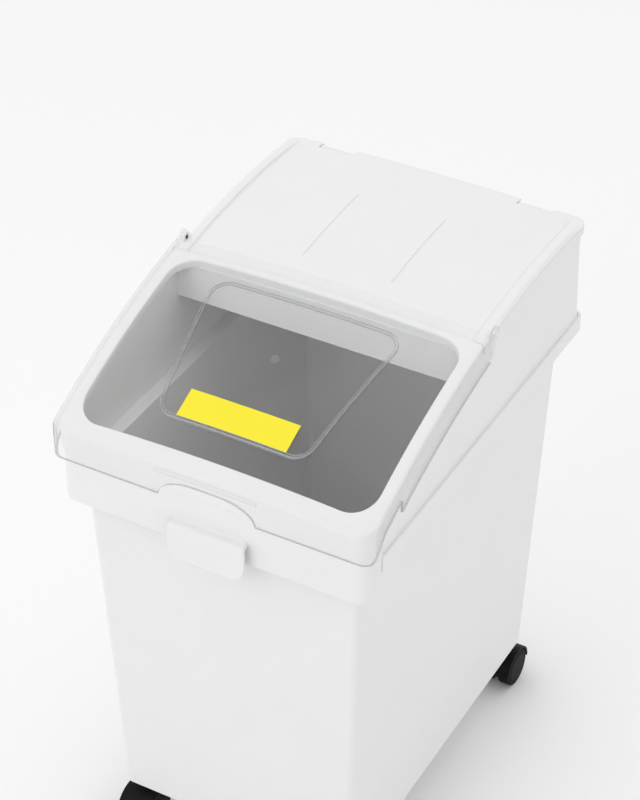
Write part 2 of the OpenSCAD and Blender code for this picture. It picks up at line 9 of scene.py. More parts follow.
import bmesh
import bpy
from mathutils import Euler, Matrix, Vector


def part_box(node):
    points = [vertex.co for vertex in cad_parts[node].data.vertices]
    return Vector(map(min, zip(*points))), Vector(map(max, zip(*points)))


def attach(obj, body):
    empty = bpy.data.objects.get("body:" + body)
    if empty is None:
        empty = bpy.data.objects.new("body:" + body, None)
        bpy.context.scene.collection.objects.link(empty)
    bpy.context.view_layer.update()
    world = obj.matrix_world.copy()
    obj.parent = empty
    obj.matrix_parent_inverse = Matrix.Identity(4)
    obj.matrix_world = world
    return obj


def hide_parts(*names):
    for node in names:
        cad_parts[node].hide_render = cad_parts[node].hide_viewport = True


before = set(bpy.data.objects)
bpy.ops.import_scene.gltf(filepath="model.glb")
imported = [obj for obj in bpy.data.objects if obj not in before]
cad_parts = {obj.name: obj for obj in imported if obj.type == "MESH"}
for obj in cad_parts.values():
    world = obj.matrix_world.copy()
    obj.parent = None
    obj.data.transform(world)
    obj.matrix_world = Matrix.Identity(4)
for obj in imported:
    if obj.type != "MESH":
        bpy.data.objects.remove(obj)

LOG = logging.getLogger("flour_bin")

Pair = tuple[float, float]
Triple = tuple[float, float, float]
Spot = tuple[float, float]
Point = tuple[float, float, float]

MM = 0.001
SIDES = (-1, 1)
CORNERS = ("front_left", "front_right", "rear_left", "rear_right")
# Socket numbers of the colour mix node, which has several sockets of one name.
MIX_FACTOR, MIX_A, MIX_B, MIX_RESULT = 0, 6, 7, 2
# Faces that meet at a larger angle than this show a sharp edge.
SHARP = math.radians(38)
# Points that lie closer than this are joined.
WELD_MM = 0.002
# Half the small distance that stands for a sudden step.
JUMP_MM = 0.1
# Number of points on a small circle, and of faces across a rounded edge.
CIRCLE_POINTS = 24
EDGE_FACES = 3


class Slot(Enum):
    """The record's material slot names of the white and the clear plastic."""

    WHITE = "white_plastic"
    CLEAR = "clear_plastic"


def hex_to_linear(code: str) -> tuple[float, float, float, float]:
    """Turns an sRGB hex colour into linear light.

    Args:
        code: Six hex digits, with or without a leading hash.

    Returns:
        Linear red, green, blue and an alpha of one.
    """
    digits = code.lstrip("#")
    channels = [int(digits[i:i + 2], 16) / 255 for i in (0, 2, 4)]
    linear = [c / 12.92 if c <= 0.04045 else ((c + 0.055) / 1.055) ** 2.4 for c in channels]
    return (linear[0], linear[1], linear[2], 1.0)


def per_mm(size_mm: float) -> float:
    """Gives the texture scale, in repeats a metre, of a pattern that repeats every size_mm."""
    return 1.0 / (size_mm * MM)


def add_node(
    tree: bpy.types.NodeTree,
    kind: str,
    settings: Mapping[str | int, Any] | None = None,
    links: Mapping[str | int, tuple[bpy.types.Node, str | int]] | None = None,
) -> bpy.types.Node:
    """Adds a node with its settings and links.

    Args:
        tree: The node tree.
        kind: Blender's name of the node type.
        settings: Values for the node's sockets, by name or number, or for its own properties.
        links: For each input socket, the node and output socket that feed it.

    Returns:
        The new node.
    """
    node = tree.nodes.new(kind)
    for name, value in (settings or {}).items():
        if isinstance(name, int) or name in node.inputs:
            node.inputs[name].default_value = value
        else:
            setattr(node, name, value)
    for name, (source, output) in (links or {}).items():
        tree.links.new(source.outputs[output], node.inputs[name])
    return node


def new_material(name: str) -> bpy.types.Material:
    """Starts a material with an empty node tree.

    Args:
        name: The material's name.

    Returns:
        The material.
    """
    made = bpy.data.materials.new(name)
    made.use_nodes = True
    made.node_tree.nodes.clear()
    return made


def new_object(name: str, data: bpy.types.ID) -> bpy.types.Object:
    """Puts a new object into the scene.

    Args:
        name: The object's name.
        data: Its mesh, light or camera.

    Returns:
        The object.
    """
    made = bpy.data.objects.new(name, data)
    bpy.context.scene.collection.objects.link(made)
    return made


def facing(way: Vector) -> Euler:
    """Gives the turn of a lamp or a camera that looks along a direction."""
    return way.to_track_quat("-Z", "Y").to_euler()


@dataclass(frozen=True)
class MouldedFinish:
    """A moulded plastic: its colour drifts a little and a fine grain from the mould breaks up the gloss.

    Attributes:
        name: The material's name.
        light: Colour of the lighter drift, sRGB hex.
        dark: Colour of the darker drift, sRGB hex.
        roughness: Lowest and highest roughness.
        ior: Index of refraction.
        drift_mm: Size of the colour drift.
        grain_mm: Size of the mould's grain as drawn.
        grain_depth_mm: Depth of that grain.
        scatter: Share of light that scatters under the surface.
        specular: Strength of the gloss, 0.5 for a clean surface.
        scatter_mm: How far light runs under the surface.
        drift_detail: Finer levels in the drift.
        grain_detail: Finer levels in the grain.
        grain_strength: Share of the grain's depth that shows.
    """

    name: str
    light: str
    dark: str
    roughness: Pair
    ior: float
    drift_mm: float
    grain_mm: float
    grain_depth_mm: float
    scatter: float = 0.0
    specular: float = 0.5
    scatter_mm: float = 2.0
    drift_detail: float = 3.0
    grain_detail: float = 2.0
    grain_strength: float = 0.35

    def material(self) -> bpy.types.Material:
        """Builds the material.

        Returns:
            The material.
        """
        made = new_material(self.name)
        tree = made.node_tree
        place = add_node(tree, "ShaderNodeTexCoord")
        drift = add_node(
            tree, "ShaderNodeTexNoise",
            {"Scale": per_mm(self.drift_mm), "Detail": self.drift_detail}, {"Vector": (place, "Object")})
        colour = add_node(
            tree, "ShaderNodeMix",
            {"data_type": "RGBA", MIX_A: hex_to_linear(self.dark), MIX_B: hex_to_linear(self.light)},
            {MIX_FACTOR: (drift, "Fac")})
        gloss = add_node(
            tree, "ShaderNodeMapRange",
            {"To Min": self.roughness[0], "To Max": self.roughness[1]}, {"Value": (drift, "Fac")})
        grain = add_node(
            tree, "ShaderNodeTexNoise",
            {"Scale": per_mm(self.grain_mm), "Detail": self.grain_detail}, {"Vector": (place, "Object")})
        bump = add_node(
            tree, "ShaderNodeBump",
            {"Strength": self.grain_strength, "Distance": self.grain_depth_mm * MM},
            {"Height": (grain, "Fac")})
        shader = add_node(
            tree, "ShaderNodeBsdfPrincipled",
            {"IOR": self.ior, "Specular IOR Level": self.specular, "Subsurface Weight": self.scatter,
             "Subsurface Scale": self.scatter_mm * MM},
            {"Base Color": (colour, MIX_RESULT), "Roughness": (gloss, "Result"),
             "Normal": (bump, "Normal")})
        add_node(tree, "ShaderNodeOutputMaterial", links={"Surface": (shader, "BSDF")})
        return made


@dataclass(frozen=True)
class ClearFinish:
    """A clear plastic moulding: it mirrors at a glance, greys towards a glance with painted shade, and
    faintly ripples.

    Attributes:
        name: The material's name.
        face: Tint seen straight through, sRGB hex.
        edge: Painted shade seen at a glance, sRGB hex: a grey that stands in for the dark lines of
            refraction.
        roughness: Lowest and highest roughness of its gloss.
        ior: Index of refraction.
        flow_mm: Size of the flow lines from the gate.
        flow_depth_mm: Depth of the flow lines.
        haze: Share of light that the surface scatters back.
        milk: Colour of that haze, sRGB hex.
        flow_detail: Finer levels in the flow lines.
        flow_strength: Share of the flow lines' depth that shows.
        mirror_power: How late the mirroring comes in towards a glance.
        painted_shade_power: How late the painted shade comes in towards a glance.
    """

    name: str
    face: str
    edge: str
    roughness: Pair
    ior: float
    flow_mm: float
    flow_depth_mm: float
    haze: float = 0.0
    milk: str = "#F4F6F6"
    flow_detail: float = 1.0
    flow_strength: float = 0.2
    mirror_power: float = 4.0
    painted_shade_power: float = 6.0

    def material(self) -> bpy.types.Material:
        """Builds the material, which lets the light of lamps and walls pass as through an open window.

        Returns:
            The material.
        """
        made = new_material(self.name)
        tree = made.node_tree
        place = add_node(tree, "ShaderNodeTexCoord")
        flow = add_node(
            tree, "ShaderNodeTexNoise",
            {"Scale": per_mm(self.flow_mm), "Detail": self.flow_detail}, {"Vector": (place, "Object")})
        bump = add_node(
            tree, "ShaderNodeBump",
            {"Strength": self.flow_strength, "Distance": self.flow_depth_mm * MM}, {"Height": (flow, "Fac")})
        gloss = add_node(
            tree, "ShaderNodeMapRange",
            {"To Min": self.roughness[0], "To Max": self.roughness[1]}, {"Value": (flow, "Fac")})
        slope = add_node(tree, "ShaderNodeLayerWeight", {"Blend": 0.5}, {"Normal": (bump, "Normal")})
        steep, glance = (
            add_node(tree, "ShaderNodeMath", {"operation": "POWER", 1: power}, {0: (slope, "Facing")})
            for power in (self.mirror_power, self.painted_shade_power))
        # The grey mixed in towards a glance is painted shade for the dark lines that refraction draws.
        tint_with_painted_shade = add_node(
            tree, "ShaderNodeMix",
            {"data_type": "RGBA", MIX_A: hex_to_linear(self.face), MIX_B: hex_to_linear(self.edge)},
            {MIX_FACTOR: (glance, "Value")})
        through = add_node(tree, "ShaderNodeBsdfTransparent", links={"Color": (tint_with_painted_shade, MIX_RESULT)})
        shine = add_node(
            tree, "ShaderNodeBsdfAnisotropic",
            links={"Roughness": (gloss, "Result"), "Normal": (bump, "Normal")})
        straight = ((self.ior - 1) / (self.ior + 1)) ** 2
        mirror = add_node(
            tree, "ShaderNodeMapRange", {"To Min": straight, "To Max": 1.0}, {"Value": (steep, "Value")})
        body = (through, "BSDF")
        if self.haze:
            milk = add_node(tree, "ShaderNodeBsdfDiffuse", {"Color": hex_to_linear(self.milk)})
            mixed = add_node(tree, "ShaderNodeMixShader", {0: self.haze}, {1: body, 2: (milk, "BSDF")})
            body = (mixed, "Shader")
        seen = add_node(
            tree, "ShaderNodeMixShader", links={0: (mirror, "Result"), 1: body, 2: (shine, "BSDF")})
        rays = add_node(tree, "ShaderNodeLightPath")
        lamps = add_node(
            tree, "ShaderNodeMath", {"operation": "MAXIMUM"},
            {0: (rays, "Is Shadow Ray"), 1: (rays, "Is Diffuse Ray")})
        open_way = add_node(tree, "ShaderNodeBsdfTransparent")
        both = add_node(
            tree, "ShaderNodeMixShader",
            links={0: (lamps, "Value"), 1: (seen, "Shader"), 2: (open_way, "BSDF")})
        add_node(tree, "ShaderNodeOutputMaterial", links={"Surface": (both, "Shader")})
        return made


@dataclass(frozen=True)
class TurnedFinish:
    """A turned and plated metal: rings from the lathe stretch its highlights.

    Attributes:
        name: The material's name.
        light: Colour of the plating, sRGB hex.
        dark: Colour between the rings, sRGB hex.
        roughness: Lowest and highest roughness.
        ring_mm: Spacing of the lathe's rings as drawn.
        wobble: How far the rings stray from straight.
    """

    name: str
    light: str
    dark: str
    roughness: Pair
    ring_mm: float
    wobble: float = 0.6

    def material(self) -> bpy.types.Material:
        """Builds the material.

        Returns:
            The material.
        """
        made = new_material(self.name)
        tree = made.node_tree
        place = add_node(tree, "ShaderNodeTexCoord")
        rings = add_node(
            tree, "ShaderNodeTexWave",
            {"bands_direction": "Z", "Scale": per_mm(self.ring_mm) / math.tau, "Distortion": self.wobble},
            {"Vector": (place, "Object")})
        colour = add_node(
            tree, "ShaderNodeMix",
            {"data_type": "RGBA", MIX_A: hex_to_linear(self.dark), MIX_B: hex_to_linear(self.light)},
            {MIX_FACTOR: (rings, "Fac")})
        gloss = add_node(
            tree, "ShaderNodeMapRange",
            {"To Min": self.roughness[0], "To Max": self.roughness[1]}, {"Value": (rings, "Fac")})
        shader = add_node(
            tree, "ShaderNodeBsdfPrincipled", {"Metallic": 1.0},
            {"Base Color": (colour, MIX_RESULT), "Roughness": (gloss, "Result")})
        add_node(tree, "ShaderNodeOutputMaterial", links={"Surface": (shader, "BSDF")})
        return made


# Moulded polypropylene: a soft white with a satin sheen. The grain is drawn coarser than the real 0.2 mm,
# so that it shows.
WHITE_POLYPROPYLENE = MouldedFinish(
    "moulded_white_polypropylene", light="#F1F1F1", dark="#EDEDED", roughness=(0.36, 0.46), ior=1.49,
    drift_mm=70.0, grain_mm=1.1, grain_depth_mm=0.02, scatter=0.05)
# Moulded clear polycarbonate: almost colourless, with bright lines of gloss and painted dark lines of shade
# where its surface turns away.
CLEAR_POLYCARBONATE = ClearFinish(
    "moulded_clear_polycarbonate", face="#FEFEFE", edge="#83888A", roughness=(0.03, 0.07), ior=1.58,
    flow_mm=45.0, flow_depth_mm=0.03)
# Edge of the same polycarbonate: its grey see-through colour paints a soft grey line of shade along the free
# edges and the rib's flanks, and a milky haze stands for light that runs inside the sheet and leaves there.
CLEAR_EDGE_PAINTED_SHADE = ClearFinish(
    "clear_polycarbonate_painted_edge_shade", face="#B9BEC0", edge="#83888A", roughness=(0.05, 0.1), ior=1.58,
    flow_mm=45.0, flow_depth_mm=0.03, haze=0.3)
# Cut vinyl film: a flat strong yellow with a light gloss.
YELLOW_VINYL = MouldedFinish(
    "cut_yellow_vinyl_film", light="#FFF024", dark="#FBEA1C", roughness=(0.3, 0.4), ior=1.5,
    drift_mm=30.0, grain_mm=0.8, grain_depth_mm=0.01)
# Moulded black nylon: near black, satin from the mould's fine spark texture, drawn coarse enough to show.
BLACK_NYLON = MouldedFinish(
    "moulded_black_nylon", light="#1A1A1B", dark="#121213", roughness=(0.42, 0.58), ior=1.53,
    drift_mm=12.0, grain_mm=0.6, grain_depth_mm=0.03, specular=0.1)
# Polished black nylon of the wheels: half the housings' grain, and a gloss that the floor has dulled.
BLACK_TREAD = MouldedFinish(
    "polished_black_nylon", light="#1C1C1D", dark="#141415", roughness=(0.42, 0.58), ior=1.53,
    drift_mm=9.0, grain_mm=0.7, grain_depth_mm=0.015, specular=0.06)
# Zinc-plated turned steel: cool grey with fine lathe rings.
ZINC_STEEL = TurnedFinish(
    "turned_zinc_steel", light="#B9BDC1", dark="#8F9397", roughness=(0.28, 0.42), ring_mm=0.5)
# Painted studio floor: matt and pale, with a very slight drift so that it isn't flat.
PALE_FLOOR = MouldedFinish(
    "rolled_pale_floor_paint", light="#FDFDFD", dark="#FCFCFC", roughness=(0.8, 0.9), ior=1.45,
    drift_mm=900.0, grain_mm=3.0, grain_depth_mm=0.02)


def mm_box(node: str) -> tuple[Vector, Vector]:
    """Gives a CAD node's lowest and highest corner in millimetres."""
    low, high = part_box(node)
    return low / MM, high / MM


@dataclass(frozen=True)
class Datum:
    """Main places of the bin in millimetres, read from the CAD pieces, with y from the tub's middle.

    Attributes:
        middle_y: The tub's middle in the row frame.
        rim_half: Half the rim's width.
        rim_rear: The rim's back edge.
        seat_z: Height of the seat that the hood stands on.
        pull_front: The pull tongue's front face.
    """

    middle_y: float
    rim_half: float
    rim_rear: float
    seat_z: float
    pull_front: float

    @classmethod
    def read(cls, bead_h: float = 16.0) -> "Datum":
        """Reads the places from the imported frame.

        Args:
            bead_h: Height of the rim's bead over the seat.

        Returns:
            The main places.
        """
        sockets = [mm_box(f"{corner}_socket") for corner in CORNERS]
        middle = sum(low.y + high.y for low, high in sockets) / (2 * len(sockets))
        tub_high = mm_box("tub")[1]
        pull = mm_box("front_band")[0].y - middle
        return cls(middle, tub_high.x, tub_high.y - middle, tub_high.z - bead_h, pull)


DATUM = Datum.read()


@dataclass(frozen=True)
class LidArc:
    """Arc that both lids follow from front to back.

    Attributes:
        crest_y: The crest's distance from the tub's middle, in millimetres.
        crest_z: Height of the crest.
        radius: Radius of the clear lid's top.
    """

    crest_y: float
    crest_z: float
    radius: float

    @classmethod
    def through(
        cls, front: float, crest_in: float = 116.0, crest_h: float = 162.0, front_h: float = 59.3
    ) -> "LidArc":
        """Works the arc out from its crest and the clear lid's front edge.

        Args:
            front: The clear lid's front edge.
            crest_in: Distance of the crest from the rim's back edge.
            crest_h: Height of the crest over the seat.
            front_h: Height of the clear lid's front edge over the seat.

        Returns:
            The arc.
        """
        crest_y = DATUM.rim_rear - crest_in
        run, drop = crest_y - front, crest_h - front_h
        return cls(crest_y, DATUM.seat_z + crest_h, (run * run + drop * drop) / (2 * drop))

    def height(self, y: float, r: float) -> float:
        """Gives the height of a concentric arc of radius r at y."""
        return self.crest_z - self.radius + math.sqrt(r * r - (y - self.crest_y) ** 2)

    def spot(self, r: float, angle: float) -> Spot:
        """Gives y and z on a concentric arc at an angle in degrees, positive towards the front."""
        turn = math.radians(angle)
        return self.crest_y - r * math.sin(turn), self.crest_z - self.radius + r * math.cos(turn)

    def spread(self, length: float) -> float:
        """Gives the angle in degrees that a length takes on the arc."""
        return math.degrees(length / self.radius)


# The clear lid's front edge lies this far behind the pull tongue's front face.
CLEAR_IN = 4.5
CLEAR_FRONT = DATUM.pull_front + CLEAR_IN
ARC = LidArc.through(CLEAR_FRONT)
# Pivots between the two lids: their radius from the arc, and their angle on it in degrees.
PIVOT: Pair = (-4.0, 9.0)
# Hinges between the rear lid and the hood: their distance from the middle, and their height.
HINGE_X, HINGE_Z = 128.0, 691.056
# Diameter of the pins of both, and radius of the bores that they turn in.
PIN_D, BORE_R = 6.0, 3.05
# Crown of the rear lid, which the hood's rails follow: its rise, and half the width that it spans.
LID_RISE, LID_HALF = 4.0, 174.0


def clamp(value: float, low: float = 0.0, high: float = 1.0) -> float:
    """Keeps a value between two limits."""
    return min(max(value, low), high)


def crown(x: float, rise: float, half: float) -> float:
    """Gives the rise of a surface that is crowned across the bin."""
    return rise * (1 - (x / half) ** 2)


def along(start: Spot, end: Spot, share: float) -> Spot:
    """Gives the point at a share of the way between two points."""
    return start[0] + (end[0] - start[0]) * share, start[1] + (end[1] - start[1]) * share


def steps(start: float, end: float, count: int) -> list[float]:
    """Gives evenly spaced values from start to end, both included."""
    return [start + (end - start) * k / count for k in range(count + 1)]


def shares(count: int) -> list[float]:
    """Gives the shares that divide a stretch into equal lengths, without its ends."""
    return steps(0.0, 1.0, count)[1:-1]


def turn_points(centre: Spot, r: float, start: float, end: float, count: int) -> list[Spot]:
    """Gives points on a round arc.

    Args:
        centre: The arc's centre.
        r: Its radius.
        start: First angle in degrees.
        end: Last angle in degrees.
        count: Number of stretches.

    Returns:
        The points, both ends included.
    """
    angles = [math.radians(a) for a in steps(start, end, count)]
    return [(centre[0] + r * math.cos(a), centre[1] + r * math.sin(a)) for a in angles]


def circle(centre: Spot, r: float) -> list[Spot]:
    """Gives the points of a small circle, the first one not repeated."""
    return turn_points(centre, r, 0, 360 - 360 / CIRCLE_POINTS, CIRCLE_POINTS - 1)


def join_arcs(arcs: Sequence[Sequence[Spot]], cuts: Sequence[Sequence[float]]) -> list[Spot]:
    """Joins arcs to a closed loop.

    Args:
        arcs: The arcs' points, in order round the loop.
        cuts: For the straight stretch after each arc, where extra points stand on it, from 0 to 1.

    Returns:
        The loop's points.
    """
    loop: list[Spot] = []
    for arc, following, extra in zip(arcs, [*arcs[1:], arcs[0]], cuts):
        loop.extend(arc)
        loop.extend(along(arc[-1], following[0], share) for share in extra)
    return loop


def plan_loop(
    half: float, front: float, rear: float, radii: Pair, cuts: Sequence[Sequence[float]], count: int
) -> list[Spot]:
    """Outlines a rectangle with round corners, seen from above.

    Args:
        half: Half its width.
        front: Its front edge.
        rear: Its rear edge.
        radii: Corner radius in front and at the back.
        cuts: For the right, rear, left and front sides, where along each one extra points stand, from 0 to 1.
        count: Stretches on each corner.

    Returns:
        The loop's points, from the front right corner round by the back.
    """
    a, b = radii
    corners = [((half - a, front + a), a, -90), ((half - b, rear - b), b, 0),
               ((b - half, rear - b), b, 90), ((a - half, front + a), a, 180)]
    return join_arcs([turn_points(centre, r, start, start + 90, count) for centre, r, start in corners], cuts)


def soften(path: Sequence[Spot], reach: float, count: int = 3, room: float = 0.45) -> list[Spot]:
    """Rounds the corners of an open path.

    Args:
        path: The path's points.
        reach: How far from a corner its rounding starts, where there is room.
        count: Stretches on each corner.
        room: Largest share of a stretch that one rounding takes.

    Returns:
        The path with every inner corner drawn as a curve.
    """
    soft = [path[0]]
    for before, corner, after in zip(path, path[1:], path[2:]):
        ends = []
        for other in (before, after):
            length = math.dist(corner, other)
            ends.append(along(corner, other, min(reach, room * length) / length))
        curve = (ends[0], corner, ends[1])
        for t in steps(0.0, 1.0, count):
            weights = ((1 - t) ** 2, 2 * t * (1 - t), t * t)
            soft.append((sum(w * p[0] for w, p in zip(weights, curve)),
                         sum(w * p[1] for w, p in zip(weights, curve))))
    soft.append(path[-1])
    return soft


def rounded_drop(distance: float, r: float) -> float:
    """Gives how far a rounded edge of radius r falls at a distance from its end."""
    return r - math.sqrt(r * r - (r - distance) ** 2) if distance < r else 0.0


class Skin:
    """Mesh of one piece, gathered in millimetres with y from the tub's middle."""

    def __init__(self, name: str) -> None:
        """Starts an empty mesh.

        Args:
            name: The piece's name.
        """
        self.name = name
        self.points: list[Point] = []
        self.faces: list[tuple[int, ...]] = []
        self.edge_spans: list[tuple[int, int]] = []

    def row(self, points: Iterable[Point]) -> list[int]:
        """Adds points.

        Args:
            points: The points.

        Returns:
            Their numbers in the mesh.
        """
        start = len(self.points)
        self.points.extend(points)
        return list(range(start, len(self.points)))

    def sheet(self, rows: Sequence[Sequence[int]], ring: bool = False, edge: bool = False) -> None:
        """Joins rows of points with faces.

        Args:
            rows: Rows of point numbers, all of one length.
            ring: Whether each row closes on itself.
            edge: Whether the faces get the piece's second finish.
        """
        start = len(self.faces)
        for near, far in zip(rows, rows[1:]):
            count = len(near)
            for k in range(count if ring else count - 1):
                following = (k + 1) % count
                self.faces.append((near[k], near[following], far[following], far[k]))
        if edge:
            self.edge_spans.append((start, len(self.faces)))

    def tube(self, loops: Sequence[Sequence[Point]]) -> None:
        """Joins closed loops one after another, and the last one to the first."""
        rows = [self.row(loop) for loop in loops]
        self.sheet([*rows, rows[0]], ring=True)

    def rod(self, loops: Sequence[Sequence[Point]]) -> None:
        """Joins closed loops one after another and closes both ends.

        Args:
            loops: The loops, all with the same number of points.
        """
        rows = [self.row(loop) for loop in loops]
        self.sheet(rows, ring=True)
        self.faces.extend((tuple(rows[0]), tuple(rows[-1])))

    def slab(
        self,
        outer: Sequence[Sequence[Point]],
        inner: Sequence[Sequence[Point]],
        gone: Callable[[int, int], bool] = lambda i, j: False,
    ) -> None:
        """Builds a sheet with thickness from two grids, with walls along every open border.

        Args:
            outer: Rows of points on the outer face.
            inner: Rows of points on the inner face.
            gone: Tells whether a cell is left out.
        """
        top, under = ([self.row(row) for row in grid] for grid in (outer, inner))
        rows, cols = len(outer) - 1, len(outer[0]) - 1

        def there(i: int, j: int) -> bool:
            """Tells whether a cell is built."""
            return 0 <= i < rows and 0 <= j < cols and not gone(i, j)

        for i, j in ((i, j) for i in range(rows) for j in range(cols) if there(i, j)):
            for grid in (top, under):
                self.faces.append((grid[i][j], grid[i][j + 1], grid[i + 1][j + 1], grid[i + 1][j]))
            borders = (((i - 1, j), (i, j), (i, j + 1)), ((i + 1, j), (i + 1, j + 1), (i + 1, j)),
                       ((i, j - 1), (i + 1, j), (i, j)), ((i, j + 1), (i, j + 1), (i + 1, j + 1)))
            for beyond, (ai, aj), (bi, bj) in borders:
                if not there(*beyond):
                    self.faces.append((top[ai][aj], under[ai][aj], under[bi][bj], top[bi][bj]))

    def bar(self, spot: Spot, d: float, start: float, end: float, soft: float = 0.5) -> None:
        """Adds a round bar along x with softened ends.

        Args:
            spot: Its y and z.
            d: Its diameter.
            start: Where it starts.
            end: Where it ends.
            soft: Size of the rounding.
        """
        sections = [(start, d / 2 - soft), (start + soft, d / 2), (end - soft, d / 2), (end, d / 2 - soft)]
        self.rod([[(x, y, z) for y, z in circle(spot, r)] for x, r in sections])

    def show(
        self, finishes: Sequence[bpy.types.Material], body: str, node: str, edge_mm: float = 0.0
    ) -> None:
        """Turns the mesh into an object in place of a CAD node.

        Args:
            finishes: Its material, and the one of its edge faces if it has any.
            body: The body that it rides on.
            node: The CAD node that it replaces.
            edge_mm: Width of the rounding on its sharp edges.
        """
        mesh = bpy.data.meshes.new(self.name)
        places = [(x * MM, (y + DATUM.middle_y) * MM, z * MM) for x, y, z in self.points]
        mesh.from_pydata(places, [], self.faces)
        for finish in finishes:
            mesh.materials.append(finish)
        for start, end in self.edge_spans:
            for face in mesh.polygons[start:end]:
                face.material_index = 1
        work = bmesh.new()
        work.from_mesh(mesh)
        bmesh.ops.remove_doubles(work, verts=work.verts, dist=WELD_MM * MM)
        bmesh.ops.dissolve_degenerate(work, edges=work.edges, dist=WELD_MM * MM)
        bmesh.ops.recalc_face_normals(work, faces=work.faces)
        for face in work.faces:
            face.smooth = True
        for edge in work.edges:
            edge.smooth = edge.calc_face_angle(0.0) < SHARP
        work.to_mesh(mesh)
        work.free()
        shown = new_object(self.name, mesh)
        if edge_mm:
            bevel = shown.modifiers.new("soft_edges", "BEVEL")
            bevel.width = edge_mm * MM
            bevel.segments = EDGE_FACES
            bevel.limit_method = "ANGLE"
            bevel.angle_limit = SHARP
        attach(shown, body)
        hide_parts(node)
        LOG.info("built %s with %d faces", self.name, len(mesh.polygons))


@dataclass
class RearLid:
    """The white rear lid: crowned panel, raised border, side skirts, ribs, hinge slots, bars and pivots.

    Attributes:
        below_arc: How far its top lies under the clear lid's arc, in millimetres.
        thick: Thickness of the panel.
        skirt_t: Thickness of the side skirts.
        skirt_low: Foot of the side skirts, as a rise over the lid's radius.
        border: Outside of the border, from the panel to the skirt: distance from the side, and rise.
        border_low: Rise above which a point of that outside lies on the border's top.
        inside_low: Rise at which the skirts' inside runs on straight.
        soft: Reach of the roundings on the border.
        edge_r: Rounding of the front and the rear edge.
        front_angle: The front edge on the arc, in degrees.
        lean_run: How far behind the front edge its lean runs out.
        rear_in: Distance of the rear edge inside the rim's.
        corner: Radius of the rear corners.
        fade: Where the border runs out before the rear edge: its end and its start.
        slot_half: Half length of the hinge slots.
        slot_front: Front edge of the hinge slots, from the rear edge.
        columns: Where plain points stand across the panel: inside the ribs, outside them, beyond the slots.
        row_gaps: Distance of the plain rows from the front edge and from the ribs' two ends.
        near: Distance of the first row from the front edge and of the last one from the rear edge.
        rib_x: Place of the two ribs.
        rib_half: Half width of a rib at its foot and on its top.
        rib_span: The ribs' ends.
        rib_h: Height of the ribs.
        hinge_in: Distance of the hinge bars from the rear edge.
        lug: Thickness of the lugs of the hinge bars, and their radius.
        lug_sunk: How far the lugs reach into the panel.
        cheek_d: Diameter of the cheeks beside the pivots.
        stub_out: How far the pivots stand out of the lid's sides.
    """

    below_arc: float = 8.0
    thick: float = 2.8
    skirt_t: float = 2.5
    skirt_low: float = -12.3
    border: tuple[Pair, ...] = (
        (15.7, -0.9), (13.7, -0.9), (12.5, 2.0), (4.0, 2.0), (0.0, -0.6), (0.0, -2.4), (0.9, -2.8),
        (0.9, -3.8), (0.0, -4.2))
    border_low: float = -1.0
    inside_low: float = -5.2
    soft: float = 0.9
    edge_r: float = 1.0
    front_angle: float = 10.197
    lean_run: float = 60.0
    rear_in: float = 8.0
    corner: float = 16.0
    fade: Pair = (5.0, 34.0)
    slot_half: float = 22.0
    slot_front: float = 13.5
    columns: tuple[tuple[float, ...], ...] = ((0.0, 14.0, 27.0, 41.0), (72.0, 89.0), (158.0, 166.0))
    row_gaps: Triple = (3.0, 6.0, 8.0)
    near: float = 0.3
    rib_x: float = 55.0
    rib_half: Pair = (1.5, 0.9)
    rib_span: Pair = (36.0, 162.0)
    rib_h: float = 1.2
    hinge_in: float = 8.0
    lug: Pair = (4.0, 6.0)
    lug_sunk: float = 1.0
    cheek_d: float = 13.0
    stub_out: float = 5.0

    @property
    def radius(self) -> float:
        """Radius of the lid's top."""
        return ARC.radius - self.below_arc

    @property
    def rear(self) -> float:
        """The lid's rear edge."""
        return DATUM.rim_rear - self.rear_in

    def section(self) -> tuple[list[Spot], list[Spot]]:
        """Draws the section across.

        Returns:
            The outside and the inside from left to right, as x and rise over the lid's radius.
        """
        half, inner = DATUM.rim_half, DATUM.rim_half - self.skirt_t
        foot, ridge = self.rib_half
        ribs = [self.rib_x + dx for dx in (-foot, -ridge, ridge, foot)]
        slots = [HINGE_X + dx for dx in steps(-self.slot_half, self.slot_half, 4)]
        middle, beside, beyond = self.columns
        across = [*middle, *ribs, *beside, *slots, *beyond, LID_HALF]
        top = [(x, crown(x, LID_RISE, LID_HALF)) for x in across]
        under = [(x, z - self.thick) for x, z in top]
        # The inside has a point for every one of the outside.
        shelf = [half - d for d, _ in self.border if d > self.skirt_t]
        down = steps(-self.thick, self.inside_low, len(self.border) - len(shelf) - 1)
        out_path = [top[-1], *[(half - d, rise) for d, rise in self.border], (half, self.skirt_low)]
        in_path = [under[-1], *[(x, -self.thick) for x in shelf], *[(inner, z) for z in down],
                   (inner, self.skirt_low)]
        sides = []
        for flat, path in ((top, out_path), (under, in_path)):
            right = flat + soften(path, self.soft)[1:]
            sides.append([(-x, z) for x, z in reversed(right[1:])] + right)
        return sides[0], sides[1]

    def rows(self) -> list[float]:
        """Lists where the sections stand along the lid.

        Returns:
            The y of each section, from the front edge to the rear edge.
        """
        front, rear = ARC.spot(self.radius, self.front_angle)[0], self.rear
        turn = rear - self.corner
        start, end = self.rib_span
        ramp = self.rib_half[0]
        ribs = [start - ramp, *steps(start, end, 12), end + ramp]
        bend = [turn + self.corner * math.sin(math.radians(a)) for a in range(12, 85, 12)]
        gaps = self.row_gaps
        return [front, front + self.near, front + self.edge_r, *steps(front + gaps[0], start - gaps[1], 5),
                *ribs, *steps(end + gaps[2], turn, 8), *sorted([rear - self.slot_front, *bend]),
                rear - self.near, rear]

